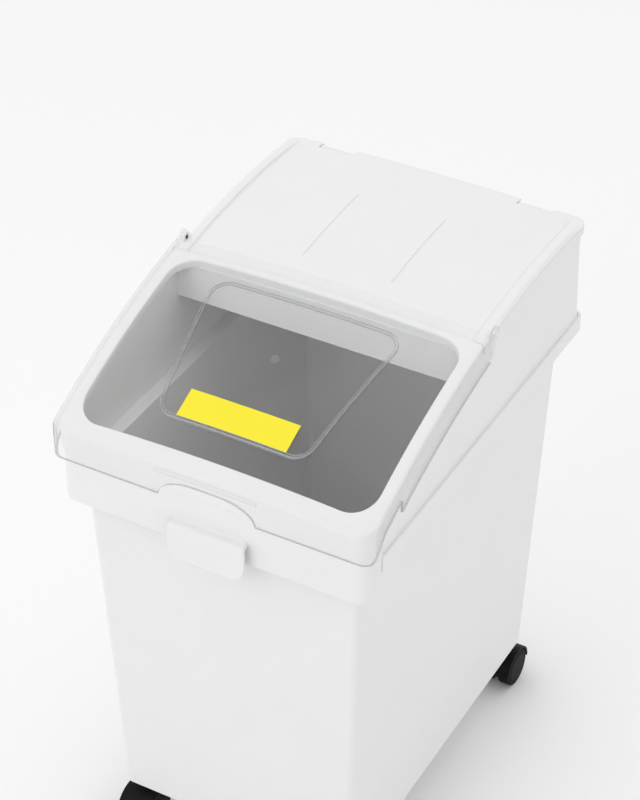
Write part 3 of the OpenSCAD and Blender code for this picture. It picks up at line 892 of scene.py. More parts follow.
    def face(self, section: Sequence[Spot], rows: Sequence[float], outer: bool) -> list[list[Point]]:
        """Places one face of the section at every row.

        Args:
            section: The face, as x and rise over the lid's radius.
            rows: The y of each row.
            outer: Whether it is the outside, which has the ribs and the rounded edges.

        Returns:
            The points of each row.
        """
        front, rear = rows[0], rows[-1]
        lean = math.sin(math.radians(self.front_angle))
        placed = []
        for y in rows:
            late = clamp(y - (rear - self.corner), 0.0, self.corner)
            room = DATUM.rim_half - self.corner + math.sqrt(self.corner ** 2 - late ** 2)
            slant = lean * max(0.0, 1 - (y - front) / self.lean_run)
            raised = clamp((rear - y - self.fade[0]) / (self.fade[1] - self.fade[0]))
            line = []
            for x, rise in section:
                if outer and abs(x) > LID_HALF and rise > self.border_low:
                    rise *= raised
                if room < DATUM.rim_half - self.skirt_t:
                    rise = max(rise, -self.thick)
                if outer:
                    rise -= rounded_drop(min(y - front, rear - y), self.edge_r)
                    on_rib = abs(abs(x) - self.rib_x) < self.rib_half[0]
                    rise += self.rib_h if on_rib and self.rib_span[0] <= y <= self.rib_span[1] else 0.0
                y_here = y - rise * slant
                z_here = ARC.height(y_here, self.radius + rise)
                line.append((math.copysign(min(abs(x), room), x), y_here, z_here))
            placed.append(line)
        return placed

    def build(self, finish: bpy.types.Material) -> None:
        """Builds the lid.

        Args:
            finish: Its white plastic.
        """
        skin = Skin("rear_lid_moulding")
        rows = self.rows()
        outside, inside = self.section()

        def in_slot(i: int, j: int) -> bool:
            """Tells whether a cell lies in a hinge slot."""
            x = (abs(outside[j][0]) + abs(outside[j + 1][0])) / 2
            return rows[i] > self.rear - self.slot_front - JUMP_MM and abs(x - HINGE_X) < self.slot_half

        skin.slab(self.face(outside, rows, True), self.face(inside, rows, False), in_slot)
        self.hinge_bars(skin)
        self.pivots(skin)
        skin.show([finish], "rear_lid", "rear_lid")

    def hinge_bars(self, skin: Skin) -> None:
        """Adds the bar of each slot with its two lugs.

        Args:
            skin: The lid's mesh.
        """
        y, z = self.rear - self.hinge_in, HINGE_Z
        lug_t, lug_r = self.lug
        reach = self.slot_half + lug_t
        top = [(end, ARC.height(end, self.radius - self.lug_sunk)) for end in (y + lug_r, y - lug_r)]
        outline = [*turn_points((y, z), lug_r, 180, 360, 16), *top]
        for middle in (side * HINGE_X for side in SIDES):
            skin.bar((y, z), PIN_D, middle - reach, middle + reach)
            for start in (middle - reach, middle + self.slot_half):
                skin.rod([[(x, *spot) for spot in outline] for x in (start, start + lug_t)])

    def pivots(self, skin: Skin) -> None:
        """Adds the cheek and the stub that each ear of the clear lid turns on.

        Args:
            skin: The lid's mesh.
        """
        spot = ARC.spot(ARC.radius + PIVOT[0], PIVOT[1])
        half = DATUM.rim_half
        for side in SIDES:
            for d, end in ((self.cheek_d, half), (PIN_D, half + self.stub_out)):
                skin.bar(spot, d, *sorted((side * (half - self.skirt_t), side * end)))


@dataclass
class ClearLid:
    """The clear front lid: crowned plate, skirts on three sides, finger arch, raised rib, runners and ears.

    Attributes:
        half_out: Reach of its sides beyond the rim, in millimetres.
        corner: Radius of its front corners in plan.
        thick: Thickness of the plate.
        skirt_t: Thickness of the skirts.
        edge_r: Rounding of its outer edge.
        rise: Rise of the crown.
        rear_angle: Its rear edge on the arc, in degrees.
        rear_row: Distance of the second row from the rear edge.
        step_angle: Where the side skirts step up, in degrees.
        skirt_h: Depth of the side skirts behind the step and in front of it.
        slope: Where the side skirts' foot starts to rise behind the front edge, and where it ends.
        slope_h: How far it rises there.
        foot_gap: Height of the front skirt's foot over the seat.
        arch_half: Half width of the finger arch.
        arch_rise: Rise of the finger arch.
        arch_run: Width of the rounding at each side of the finger arch.
        arch_gap: Distance of the first plain column from the finger arch.
        columns: Where the next plain columns stand across the front.
        runner_in: Distances of the raised side strips' inner and outer edges from the lid's side.
        runner_gap: Distance of those strips from the rear edge.
        runner_h: Height of those strips.
        runner_edge: Half width of the slopes along those strips.
        runner_ramp: Half length of the slopes at their ends.
        ear_r: Radius of the ears.
        ear_turn: How far the ears are round, to each side of the direction to the rear, in degrees.
        ear_gap: Free play between the ears and the rear lid's side.
        ear_sunk: How far the ears' top lies under the arc.
        ear_lap: How far the ears lap under the rear edge, in degrees.
        heel: Height of the ears' heel over the skirts' foot, and how far it stands back, in degrees.
        rib_ends: Distance of the rib from the front edge and its half width, in front and at the back.
        rib_r: Outer corner radius of the rib.
        rib_w: Width of the rib.
        rib_h: Height of the rib.
        rib_profile: The rib's section, as shares of its width and of its height.
        gate_in: Distance of the gate mark from the front edge.
        gate_profile: Section of the gate mark: radius and lift.
        pip_r: Radius of the pips.
        pip_profile: Section of the pips: how far out, and how much less than the radius.
        lip_over: How far the lifting lip reaches past the finger arch.
        lip_profile: Section of the lifting lip: y from the front edge and z from the top.
    """

    half_out: float = 4.5
    corner: float = 16.0
    thick: float = 3.0
    skirt_t: float = 2.8
    edge_r: float = 2.0
    rise: float = 7.0
    rear_angle: float = 9.598
    rear_row: float = 5.0
    step_angle: float = 22.9
    skirt_h: Pair = (34.0, 20.0)
    slope: Pair = (8.0, 32.0)
    slope_h: float = 26.0
    foot_gap: float = 27.0
    arch_half: float = 58.5
    arch_rise: float = 23.0
    arch_run: float = 44.0
    arch_gap: float = 5.0
    columns: Triple = (76.0, 92.0, 107.0)
    runner_in: Pair = (67.0, 5.0)
    runner_gap: float = 15.7
    runner_h: float = 0.6
    runner_edge: float = 0.4
    runner_ramp: float = 0.3
    ear_r: float = 7.5
    ear_turn: float = 100.0
    ear_gap: float = 0.9
    ear_sunk: float = 0.5
    ear_lap: float = 0.1
    heel: Pair = (8.0, 0.15)
    rib_ends: tuple[Pair, Pair] = ((49.0, 93.0), (224.5, 115.0))
    rib_r: float = 22.0
    rib_w: float = 4.0
    rib_h: float = 2.0
    rib_profile: tuple[Pair, ...] = (
        (0.0, -0.1), (0.0, 0.5), (0.12, 0.86), (0.3, 1.0), (0.7, 1.0), (0.88, 0.86), (1.0, 0.5), (1.0, -0.1))
    gate_in: float = 146.5
    gate_profile: tuple[Pair, ...] = ((5.0, -0.1), (5.0, 0.4), (4.6, 0.7), (0.6, 0.7))
    pip_r: float = 3.0
    pip_profile: tuple[Pair, ...] = ((-0.1, 0.0), (0.9, 0.0), (1.3, 0.4), (1.5, 1.2))
    lip_over: float = 3.0
    lip_profile: tuple[Pair, ...] = (
        (0.5, -4.0), (-1.7, -4.2), (-2.5, -5.2), (-2.5, -7.8), (-1.7, -8.8), (0.5, -9.0))

    @property
    def half(self) -> float:
        """Half the lid's width."""
        return DATUM.rim_half + self.half_out

    @property
    def foot(self) -> float:
        """Height of the front skirt's foot."""
        return DATUM.seat_z + self.foot_gap

    @property
    def rear(self) -> float:
        """The lid's rear edge."""
        return ARC.spot(ARC.radius, self.rear_angle)[0]

    @property
    def step(self) -> float:
        """The place where the side skirts step up."""
        return ARC.spot(ARC.radius, self.step_angle)[0]

    def top(self, x: float, y: float, lift: float = 0.0) -> float:
        """Gives the height of the plate's top, or of a surface at some lift over it."""
        return ARC.height(y, ARC.radius + lift + crown(x, self.rise, self.half))

    def stations(self) -> list[Pair]:
        """Lists the rows of the plate.

        Returns:
            For each row its y, and its turn round the front corner from 0 to 90 degrees.
        """
        rear, step = self.rear, self.step
        slope_end, bend = CLEAR_FRONT + self.slope[1], CLEAR_FRONT + self.corner
        strip, ramp = rear - self.runner_gap, self.runner_ramp
        rows = [rear, rear - self.rear_row, strip + ramp,
                *steps(strip - ramp, step + ramp + 2 * JUMP_MM, 22), step + JUMP_MM,
                *steps(step - JUMP_MM, slope_end, 5), *steps(slope_end, bend, 4)[1:-1]]
        return [(y, 0.0) for y in rows] + [(bend, a) for a in steps(0.0, 90.0, 10)]

    def across(self) -> list[float]:
        """Lists the columns of the plate.

        Returns:
            Each column's share of the half width, from -1 on the left to 1 on the right.
        """
        flat = self.arch_half - self.arch_run
        arch = [flat + self.arch_run * math.sin(math.radians(a)) for a in steps(0.0, 90.0, 12)]
        front, full = self.half - self.corner, self.half - self.edge_r
        plain = (0.0, flat / 3, 2 * flat / 3, *arch, self.arch_half + self.arch_gap, *self.columns)
        strip = [(self.half - edge + dx) / full for edge in self.runner_in
                 for dx in (-self.runner_edge, self.runner_edge)]
        right = [x / front for x in plain]
        right += [*strip[:2], *steps(strip[1], strip[2], 5)[1:-1], *strip[2:], 1.0]
        return [-x for x in reversed(right[1:])] + right

    def runner(self, x: float, y: float) -> float:
        """Gives the lift of the raised side strips.

        Args:
            x: Place across the plate.
            y: Place along the plate.

        Returns:
            Their height on a strip, and zero beside it.
        """
        inner, outer = (self.half - edge for edge in self.runner_in)
        on_length = self.step + self.runner_ramp < y < self.rear - self.runner_gap
        return self.runner_h if inner < abs(x) < outer and on_length else 0.0

    def place(self, station: Pair, share: float, inset: float) -> Spot:
        """Gives x and y of a point of the plate inside its outline.

        Args:
            station: The row's y and turn.
            share: The column, from -1 to 1.
            inset: Distance of the row's ends from the outline.

        Returns:
            X and y.
        """
        y, turn = station
        r, angle = self.corner - inset, math.radians(turn)
        return share * (self.half - self.corner + r * math.cos(angle)), y - r * math.sin(angle)

    def side_foot(self, y: float) -> float:
        """Gives the height of the side skirts' foot.

        Args:
            y: Place along the skirt.

        Returns:
            The height: along the arc, with the step, and down to the front skirt's foot in front.
        """
        deep, shallow = self.skirt_h
        foot = ARC.height(y, ARC.radius - (deep if y > self.step else shallow))
        start, end = (CLEAR_FRONT + d for d in self.slope)
        if y < end:
            foot = min(foot, self.foot + self.slope_h * clamp((y - start) / (end - start)))
        return foot

    def front_foot(self, x: float) -> float:
        """Gives the height of the front skirt's foot, with the finger arch.

        Args:
            x: Place across the skirt.

        Returns:
            The height.
        """
        flat = self.arch_half - self.arch_run
        late = clamp(abs(x) - flat, 0.0, self.arch_run)
        return self.foot + self.arch_rise * math.sqrt(1 - (late / self.arch_run) ** 2)

    def build(self, finish: bpy.types.Material, edge: bpy.types.Material) -> None:
        """Builds the lid.

        Args:
            finish: Its clear plastic.
            edge: The same plastic at its free edges, with a painted grey line of shade.
        """
        skin = Skin("clear_lid_moulding")
        self.shell(skin)
        self.ears(skin)
        self.panel_rib(skin)
        self.marks(skin)
        skin.show([finish, edge], "clear_lid", "clear_lid")

    def shell(self, skin: Skin) -> None:
        """Adds the plate with its skirts.

        Args:
            skin: The lid's mesh.
        """
        rows, cols = self.stations(), self.across()

        def grid(inset: float, lift: Callable[[float, float], float]) -> list[list[int]]:
            """Adds one face of the plate at an inset and a lift."""
            spots = [[self.place(row, share, inset) for share in cols] for row in rows]
            return [skin.row((x, y, self.top(x, y, lift(x, y))) for x, y in line) for line in spots]

        upper, lower = grid(self.edge_r, self.runner), grid(self.skirt_t, lambda x, y: -self.thick)
        skin.sheet(upper)
        skin.sheet(lower)
        last = len(rows) - 1
        border = [(i, 0) for i in range(last)] + [(last, j) for j in range(len(cols))]
        border += [(i, len(cols) - 1) for i in reversed(range(last))]

        def ring(inset: float, drop: float | None) -> list[int]:
            """Adds one line round the skirts.

            Args:
                inset: Its distance inside the outline.
                drop: How far it lies under the top, or None for the foot.

            Returns:
                The numbers of its points.
            """
            line = []
            for i, j in border:
                x, y = self.place(rows[i], cols[j], inset)
                low = self.front_foot(x) if i == last else self.side_foot(y)
                line.append((x, y, low if drop is None else self.top(x, y) - drop))
            return skin.row(line)

        bend = [(self.edge_r * (1 - math.sin(a)), self.edge_r * (1 - math.cos(a)))
                for a in (math.radians(d) for d in (25, 50, 70, 90))]
        outer = [[upper[i][j] for i, j in border], *[ring(inset, drop) for inset, drop in bend]]
        outer.append(ring(0.0, None))
        inner = [ring(self.skirt_t, None), [lower[i][j] for i, j in border]]
        skin.sheet(outer)
        # The skirts' foot takes the edge finish, which paints a grey line of shade there.
        skin.sheet([outer[-1], inner[0]], edge=True)
        skin.sheet(inner)
        skin.faces.append(tuple(upper[0] + lower[0][::-1]))
        for end in (0, -1):
            skin.faces.append(tuple(line[end] for line in outer + inner))

    def ears(self, skin: Skin) -> None:
        """Adds the two ears that reach back to the pivots.

        Args:
            skin: The lid's mesh.
        """
        centre = ARC.spot(ARC.radius + PIVOT[0], PIVOT[1])
        low, (heel_h, heel_back) = ARC.radius - self.skirt_h[0], self.heel
        top = ARC.spot(ARC.radius - self.ear_sunk, self.rear_angle + self.ear_lap)
        foot = ARC.spot(low, self.rear_angle + self.ear_lap)
        heel = ARC.spot(low + heel_h, self.rear_angle - heel_back)
        outline = turn_points(centre, self.ear_r, -self.ear_turn, self.ear_turn, 20)
        for spot in (top, foot, heel, outline[0]):
            corner = outline[-1]
            outline.extend(along(corner, spot, share) for share in steps(0.0, 1.0, 10)[1:])
        outline.pop()
        bore = [along(centre, spot, BORE_R / math.dist(spot, centre)) for spot in outline]
        for side in SIDES:
            out, inn = side * self.half, side * (self.half - self.half_out + self.ear_gap)
            lines = ((out, outline), (out, bore), (inn, bore), (inn, outline))
            skin.tube([[(x, *spot) for spot in line] for x, line in lines])

    def panel_rib(self, skin: Skin) -> None:
        """Adds the raised rib that frames the plate's panel.

        Args:
            skin: The lid's mesh.
        """
        (front, narrow), (rear, broad) = self.rib_ends
        r = self.rib_r
        low, high = (narrow - r, CLEAR_FRONT + front + r), (broad - r, CLEAR_FRONT + rear - r)
        slant = math.degrees(math.atan2(high[0] - low[0], high[1] - low[1]))
        corners = [(low, -90, -slant), (high, -slant, 90), ((-high[0], high[1]), 90, 180 + slant),
                   ((-low[0], low[1]), 180 + slant, 270)]
        outer, inner = (
            join_arcs([turn_points(centre, size, start, end, 10) for centre, start, end in corners],
                      [shares(12)] * len(corners))
            for size in (r, r - self.rib_w))
        rows = []
        for share, rise in self.rib_profile:
            spots = [along(a, b, share) for a, b in zip(outer, inner)]
            rows.append(skin.row((x, y, self.top(x, y, self.rib_h * rise)) for x, y in spots))
        flank = len(rows) // 2
        # The rib's flanks take the edge finish, which paints grey lines of shade there.
        skin.sheet(rows[:flank], ring=True, edge=True)
        skin.sheet(rows[flank - 1:flank + 1], ring=True)
        skin.sheet(rows[flank:], ring=True, edge=True)

    def marks(self, skin: Skin) -> None:
        """Adds the gate mark, the pips beside the finger arch and the lifting lip above it.

        Args:
            skin: The lid's mesh.
        """
        gate = (0.0, CLEAR_FRONT + self.gate_in)
        skin.rod([[(x, y, self.top(x, y, lift)) for x, y in circle(gate, r)]
                  for r, lift in self.gate_profile])
        for side in SIDES:
            pip = (side * (self.arch_half + self.pip_r), self.foot + self.pip_r)
            skin.rod([[(x, CLEAR_FRONT - out, z) for x, z in circle(pip, self.pip_r - less)]
                      for out, less in self.pip_profile])
        half = self.arch_half + self.lip_over
        skin.rod([[(x, CLEAR_FRONT + out, self.top(x, CLEAR_FRONT) + rise) for out, rise in self.lip_profile]
                  for x in steps(-half, half, 16)])


@dataclass
class Hood:
    """The white hood: leaning walls, frame round the opening, bridge, rails and hinge knuckles.

    Attributes:
        side_in: Distance of its sides inside the rim, in millimetres.
        front: Its front wall.
        rear_in: Distance of its rear wall's top inside the rim.
        lean: How far the rear wall's foot stands behind its top.
        wall: Thickness of its walls.
        corner: Radius of its upright corners.
        foot_out: How far its foot stands out inside the bead.
        foot_gap: Height of its foot over the seat.
        foot_top: Heights over the seat at which the foot ends, is half as wide, and has run out.
        inside_row: Height over the seat of a row of points on the walls' inside.
        hinge_y: Place of the hinge.
        cut_z: Height of the rear wall's top and of the pockets in it, from the hinge.
        cut_in: How far in front of the hinge the wall's cut and the pockets start.
        pocket_half: Half length of the pockets.
        frame_gap: How far the frame's top lies under the clear lid's arc.
        frame_t: Thickness of the frame.
        frame_front: The frame's front edge.
        frame_corner: Radius of the frame's outer corners in front and at the back.
        soft: Radius of the frame's rounded edges.
        lip_t: Thickness of the frame's turned-down lip.
        lip_foot: Height of that lip's foot over the seat.
        lip_run: Where that lip starts to run out, and where it ends, behind the frame's front edge.
        rise: Rise of the frame's crown.
        rise_half: Half width of that crown.
        opening: Half width, front, rear and corner radius of the opening.
        bridge_angle: The frame's rear edge on the arc, in degrees.
        bridge_h: How far the wall under the bridge reaches below the crest.
        bridge_in: Distance of the bridge's ends inside the walls, of its wall's top under the frame, and
            of its wall behind the opening.
        ledge: How far the ledge reaches in front of the seam and behind it.
        rail_gap: How far the rails' top lies under the clear lid's arc.
        rail_h: Height of the rails.
        rail_in: Distance of the rails' outer side inside the rim.
        knuckle_half: Half length of the hinge knuckles.
        knuckle_r: Radius of the hinge knuckles.
        knuckle_h: Height of the knuckles' crest over the hinge.
        mouth: Half width of the knuckles' mouth.
        block: How far the knuckles' block reaches below their round, and starts below their bore.
    """

    side_in: float = 4.5
    front: float = -249.0
    rear_in: float = 16.0
    lean: float = 10.0
    wall: float = 3.0
    corner: float = 7.0
    foot_out: float = 1.3
    foot_gap: float = 0.2
    foot_top: Triple = (17.5, 18.5, 22.0)
    inside_row: float = 60.0
    hinge_y: float = 248.0
    cut_z: Pair = (2.0, -9.0)
    cut_in: Pair = (6.0, 14.0)
    pocket_half: float = 28.0
    frame_gap: float = 3.8
    frame_t: float = 9.0
    frame_front: float = -264.5
    frame_corner: Pair = (20.0, 2.5)
    soft: float = 2.0
    lip_t: float = 2.4
    lip_foot: float = 34.6
    lip_run: Pair = (20.0, 36.0)
    rise: float = 7.0
    rise_half: float = 195.0
    opening: tuple[float, float, float, float] = (177.0, -246.0, -22.0, 30.0)
    bridge_angle: float = 10.3496
    bridge_h: float = 74.0
    bridge_in: Triple = (1.0, 1.0, 0.4)
    ledge: Pair = (9.4, -27.5)
    rail_gap: float = 11.3
    rail_h: float = 8.0
    rail_in: float = 3.1
    knuckle_half: float = 21.4
    knuckle_r: float = 7.0
    knuckle_h: float = 7.9
    mouth: float = 2.5
    block: Pair = (3.0, 1.0)

    @property
    def seam(self) -> float:
        """The place where the frame ends and the rails start."""
        return ARC.spot(ARC.radius, self.bridge_angle)[0]

    def frame_top(self, x: float, y: float, drop: float = 0.0) -> float:
        """Gives the height of the frame's top, or of a surface under it."""
        return ARC.height(y, ARC.radius - self.frame_gap - drop + crown(x, self.rise, self.rise_half))

    def rail_top(self, x: float, y: float, drop: float = 0.0) -> float:
        """Gives the height of the rails' top, or of a surface under it."""
        return ARC.height(y, ARC.radius - self.rail_gap - drop + crown(x, LID_RISE, LID_HALF))

    def wall_top(self, x: float, y: float) -> float:
        """Gives the height of the walls' top.

        Args:
            x: Place across the hood.
            y: Place along the hood.

        Returns:
            The height: inside the frame or the rails, or at the cuts for the hinges.
        """
        if y < self.seam:
            return self.frame_top(x, y, self.frame_t / 2)
        top = self.rail_top(x, y, self.rail_h / 2)
        low, pocket = (HINGE_Z + h for h in self.cut_z)
        if y > self.hinge_y - self.cut_in[1] and abs(abs(x) - HINGE_X) < self.pocket_half:
            return min(top, pocket)
        return min(top, low) if y > self.hinge_y - self.cut_in[0] else top

    def build(self, finish: bpy.types.Material) -> None:
        """Builds the hood.

        Args:
            finish: Its white plastic.
        """
        skin = Skin("hood_moulding")
        self.walls(skin)
        self.frame(skin)
        self.bridge(skin)
        self.rails(skin)
        self.knuckles(skin)
        skin.show([finish], "bin", "hood")

    def walls(self, skin: Skin) -> None:
        """Adds the four walls, cut away at the back for the hinges.

        Args:
            skin: The hood's mesh.
        """
        rear_top = DATUM.rim_rear - self.rear_in
        crest = ARC.crest_z - DATUM.seat_z
        flat = DATUM.rim_half - self.side_in - self.corner
        pocket_ends = [side * (HINGE_X + end * self.pocket_half) for side in SIDES for end in SIDES]
        marks = sorted(end + dx for end in pocket_ends for dx in (-JUMP_MM, JUMP_MM))
        cuts = [shares(40), [(flat - x) / (2 * flat) for x in reversed(marks)], shares(40), shares(16)]

        def loop(inset: float, h: float | None) -> list[Point]:
            """Outlines the walls.

            Args:
                inset: Distance inside their outer face.
                h: Height over the seat, or None for their top.

            Returns:
                The loop's points.
            """
            level = HINGE_Z + self.cut_z[0] if h is None else DATUM.seat_z + h
            rear = rear_top + self.lean * (1 - (level - DATUM.seat_z) / crest) - inset
            r = self.corner - inset
            spots = plan_loop(flat + r, self.front + inset, rear, (r, r), cuts, 5)
            if h is not None:
                return [(x, y, level) for x, y in spots]
            line = []
            for x, y in spots:
                top = self.wall_top(x, y)
                at_rear = y > self.hinge_y - self.cut_in[1]
                line.append((x, y + self.lean * (level - top) / crest if at_rear else y, top))
            return line

        full, half_way, gone = self.foot_top
        skin.tube([loop(-self.foot_out, self.foot_gap), loop(-self.foot_out, full),
                   loop(-self.foot_out / 2, half_way), loop(0.0, gone), loop(0.0, None),
                   loop(self.wall, None), loop(self.wall, self.inside_row), loop(self.wall, self.foot_gap)])

    def frame(self, skin: Skin) -> None:
        """Adds the frame round the opening, with rounded edges.

        Args:
            skin: The hood's mesh.
        """
        half, front, rear, r = self.opening
        seam = ARC.spot(ARC.radius - self.frame_gap, self.bridge_angle)[0]
        cuts = [shares(30), shares(24)] * 2
        on_corner = 10

        def outer(inset: float, drop: float) -> list[Point]:
            """Outlines the frame.

            Args:
                inset: Distance inside its edge.
                drop: Distance under its top.

            Returns:
                The loop's points.
            """
            a, b = self.frame_corner
            spots = plan_loop(DATUM.rim_half - inset, self.frame_front + inset, seam - inset,
                              (a - inset, b - inset), cuts, on_corner)
            return [(x, y, self.frame_top(x, y, drop)) for x, y in spots]

        def inner(outset: float, drop: float) -> list[Point]:
            """Outlines the opening.

            Args:
                outset: Distance outside its edge.
                drop: Distance under the frame's top.

            Returns:
                The loop's points.
            """
            size = r + outset
            spots = plan_loop(half + outset, front - outset, rear + outset, (size, size), cuts, on_corner)
            return [(x, y, self.frame_top(x, y, drop)) for x, y in spots]

        def lip(inset: float) -> list[Point]:
            """Outlines the foot of the lip that turns down over the band in front.

            Args:
                inset: Distance inside the frame's edge.

            Returns:
                The loop's points.
            """
            start, end = (self.frame_front + d for d in self.lip_run)
            line = []
            for x, y, z in outer(inset, self.frame_t):
                share = clamp((end - y) / (end - start))
                line.append((x, y, z + (min(z, DATUM.seat_z + self.lip_foot) - z) * share))
            return line

        turn = [math.radians(a) for a in (0, 22, 45, 67, 90)]
        edge = [(self.soft * (1 - math.cos(a)), self.soft * (1 - math.sin(a))) for a in turn]
        skin.tube([outer(self.lip_t, self.frame_t - JUMP_MM), lip(self.lip_t), lip(0.0),
                   *[outer(*spot) for spot in edge], *[inner(*spot) for spot in reversed(edge)],
                   inner(0.0, self.frame_t)])

    def rail_sheet(self, skin: Skin, xs: Sequence[float], ys: Sequence[float], thick: float) -> None:
        """Adds a sheet whose top is level with the rails.

        Args:
            skin: The hood's mesh.
            xs: Where its points stand across the hood.
            ys: Where its points stand along the hood.
            thick: Its thickness.
        """
        top, under = ([[(x, y, self.rail_top(x, y, drop)) for x in xs] for y in ys] for drop in (0.0, thick))
        skin.slab(top, under)

    def bridge(self, skin: Skin) -> None:
        """Adds the ledge under the seam and the wall under the bridge.

        Args:
            skin: The hood's mesh.
        """
        end_in, top_in, behind = self.bridge_in
        reach = DATUM.rim_half - self.side_in - end_in
        xs = steps(-reach, reach, 24)
        front, rear = (ARC.spot(ARC.radius, self.bridge_angle + ARC.spread(d))[0] for d in self.ledge)
        self.rail_sheet(skin, xs, steps(front, rear, 5), self.wall)
        edge = self.opening[2]
        foot = ARC.crest_z - self.bridge_h
        levels = steps(0.0, 1.0, 4)
        near, far = (
            [[(x, y, foot + (self.frame_top(x, y, top_in) - foot) * t) for x in xs] for t in levels]
            for y in (edge + behind, edge + self.wall))
        skin.slab(near, far)

    def rails(self, skin: Skin) -> None:
        """Adds the rail on each side, which the rear lid's skirts straddle.

        Args:
            skin: The hood's mesh.
        """
        inner, outer = DATUM.rim_half - self.side_in - self.wall, DATUM.rim_half - self.rail_in
        ys = steps(self.seam, self.hinge_y - self.cut_in[0], 40)
        for side in SIDES:
            self.rail_sheet(skin, [side * inner, side * outer], ys, self.rail_h)

    def knuckles(self, skin: Skin) -> None:
        """Adds the two open hinge knuckles on the rear wall.

        Args:
            skin: The hood's mesh.
        """
        y, z = self.hinge_y, HINGE_Z
        rounds = []
        for r in (self.knuckle_r, BORE_R):
            gap = math.degrees(math.asin(self.mouth / r))
            rounds.append(turn_points((y, z), r, gap, 360 - gap, 24))
        rounds[0] = [(a, z + (b - z) * self.knuckle_h / self.knuckle_r if b > z + self.mouth else b)
                     for a, b in rounds[0]]
        levels = (z - self.knuckle_r - self.block[0], z - BORE_R - self.block[1])
        for side in SIDES:
            xs = [side * HINGE_X + x for x in (-self.knuckle_half, self.knuckle_half)]
            outer, bore = ([[(x, *spot) for x in xs] for spot in line] for line in rounds)
            skin.slab(outer, bore)
            rear, front = (
                [[(x, depth, level) for x in xs] for level in levels] for depth in (y, y - self.wall))
            skin.slab(rear, front)


@dataclass
class FrontBand:
    """The white band round the front of the rim, with its pull tongue.

    Attributes:
        half: Half its width, in millimetres.
        front: Its front face.
        corner: Radius of its corners.
        ends: Where its sides end.
        thick: Thickness of the band.
        span: Its foot and top, from the seat.
        soft: Reach of the roundings along its edges.
        joint: Heights over its foot between which its section starts and ends.
        tongue_half: Half width of the tongue.
        reach: How far the tongue stands out from the band.
        tongue_t: Thickness of the tongue.
        tongue_span: The tongue's foot and top, from the seat.
        tongue_r: Radius of the tongue's lower corners.
        tongue_soft: Width of the rounding on the tongue's edges.
        fillet: Radius of the hollow between the band and the tongue's top.
    """

    half: float = 189.5
    front: float = -262.0
    corner: float = 20.0
    ends: float = -236.5
    thick: float = 3.0
    span: Pair = (-34.0, 34.0)
    soft: float = 1.3
    joint: Pair = (30.0, 31.0)
    tongue_half: float = 47.0
    reach: float = 12.0
    tongue_t: float = 4.0
    tongue_span: Pair = (-52.0, -4.0)
    tongue_r: float = 20.0
    tongue_soft: float = 1.1
    fillet: float = 5.0

    def build(self, finish: bpy.types.Material) -> None:
        """Builds the band and the tongue in their white plastic."""
        self.band(finish)
        self.tongue(finish)

    def band(self, finish: bpy.types.Material) -> None:
        """Builds the band.

        Args:
            finish: Its white plastic.
        """
        skin = Skin("front_band_moulding")
        low, high = (DATUM.seat_z + h for h in self.span)
        start, end = (low + h for h in self.joint)
        section = soften([(0.0, start), (0.0, low), (-self.thick, low), (-self.thick, high), (0.0, high),
                          (0.0, end)], self.soft, 4)
        x, y = self.half - self.corner, self.front + self.corner
        right = [((x, self.ends), 0.0), ((x, (self.ends + y) / 2), 0.0)]
        right += [((x, y), -a) for a in steps(0.0, 90.0, 14)]
        right += [((x * t, y), -90.0) for t in steps(1.0, 0.0, 4)[1:-1]]
        left = [((-cx, cy), -180.0 - angle) for (cx, cy), angle in reversed(right)]
        loops = []
        for (cx, cy), angle in [*right, ((0.0, y), -90.0), *left]:
            across, ahead = math.cos(math.radians(angle)), math.sin(math.radians(angle))
            loops.append([(cx + (self.corner + out) * across, cy + (self.corner + out) * ahead, z)
                          for out, z in section])
        skin.rod(loops)
        skin.show([finish], "bin", "front_band")

    def tongue(self, finish: bpy.types.Material) -> None:
        """Builds the pull tongue.

        Args:
            finish: Its white plastic.
        """
        skin = Skin("pull_tongue")
        low, high = (DATUM.seat_z + h for h in self.tongue_span)
        start, brow = self.front - self.fillet, self.reach - self.fillet
        drop = steps(high - brow, low + self.tongue_r, 4)[1:]
        drop += [low + self.tongue_r * (1 - math.sin(math.radians(a))) for a in steps(0.0, 90.0, 7)[1:]]

        def grid(inset: float) -> list[list[Point]]:
            """Lays one face of the tongue.

            Args:
                inset: Its distance behind the front face.

            Returns:
                The points of each row, from the band down.
            """
            path = turn_points((start, high + self.fillet), self.fillet + inset, 0.0, -90.0, 8)
            path += turn_points((start, high - brow), brow - inset, 90.0, 180.0, 8)[1:]
            path += [(self.front - self.reach + inset, z) for z in drop]
            rows = []
            for y, z in path:
                late = clamp(low + self.tongue_r - z, 0.0, self.tongue_r)
                early = clamp(z - high + brow, 0.0, self.reach)
                half = self.tongue_half - self.tongue_r + math.sqrt(self.tongue_r ** 2 - late ** 2)
                half += math.sqrt(self.reach ** 2 - early ** 2) - self.reach
                depth = min(y, self.front + self.thick - JUMP_MM)
                rows.append([(x, depth, z) for x in steps(-half, half, 12)])
            return rows

        skin.slab(grid(0.0), grid(self.tongue_t))
        skin.show([finish], "bin", "front_band", self.tongue_soft)


def dress(node: str, finish: bpy.types.Material) -> None:
    """Gives a CAD node one finish all over.

    Args:
        node: The node's name.
        finish: The material it gets.
    """
    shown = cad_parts[node]
    shown.data.materials.clear()
    shown.data.materials.append(finish)
    LOG.info("dressed %s in %s", node, finish.name)


@dataclass
class Caster:
    """One caster: socket, stem, housing, axle and two wheels.

    Attributes:
        corner: The corner of the tub that it stands under.
    """

    corner: str

    def dress(self, nylon: bpy.types.Material, tread: bpy.types.Material, steel: bpy.types.Material) -> None:
        """Gives each piece its finish.

        Args:
            nylon: Finish of the socket and the housing.
            tread: Finish of the wheels.
            steel: Finish of the stem and the axle.
        """
        for piece, finish in (("socket", nylon), ("housing", nylon), ("stem", steel), ("axle", steel),
                              ("wheel_outer", tread), ("wheel_inner", tread)):
            dress(f"{self.corner}_{piece}", finish)


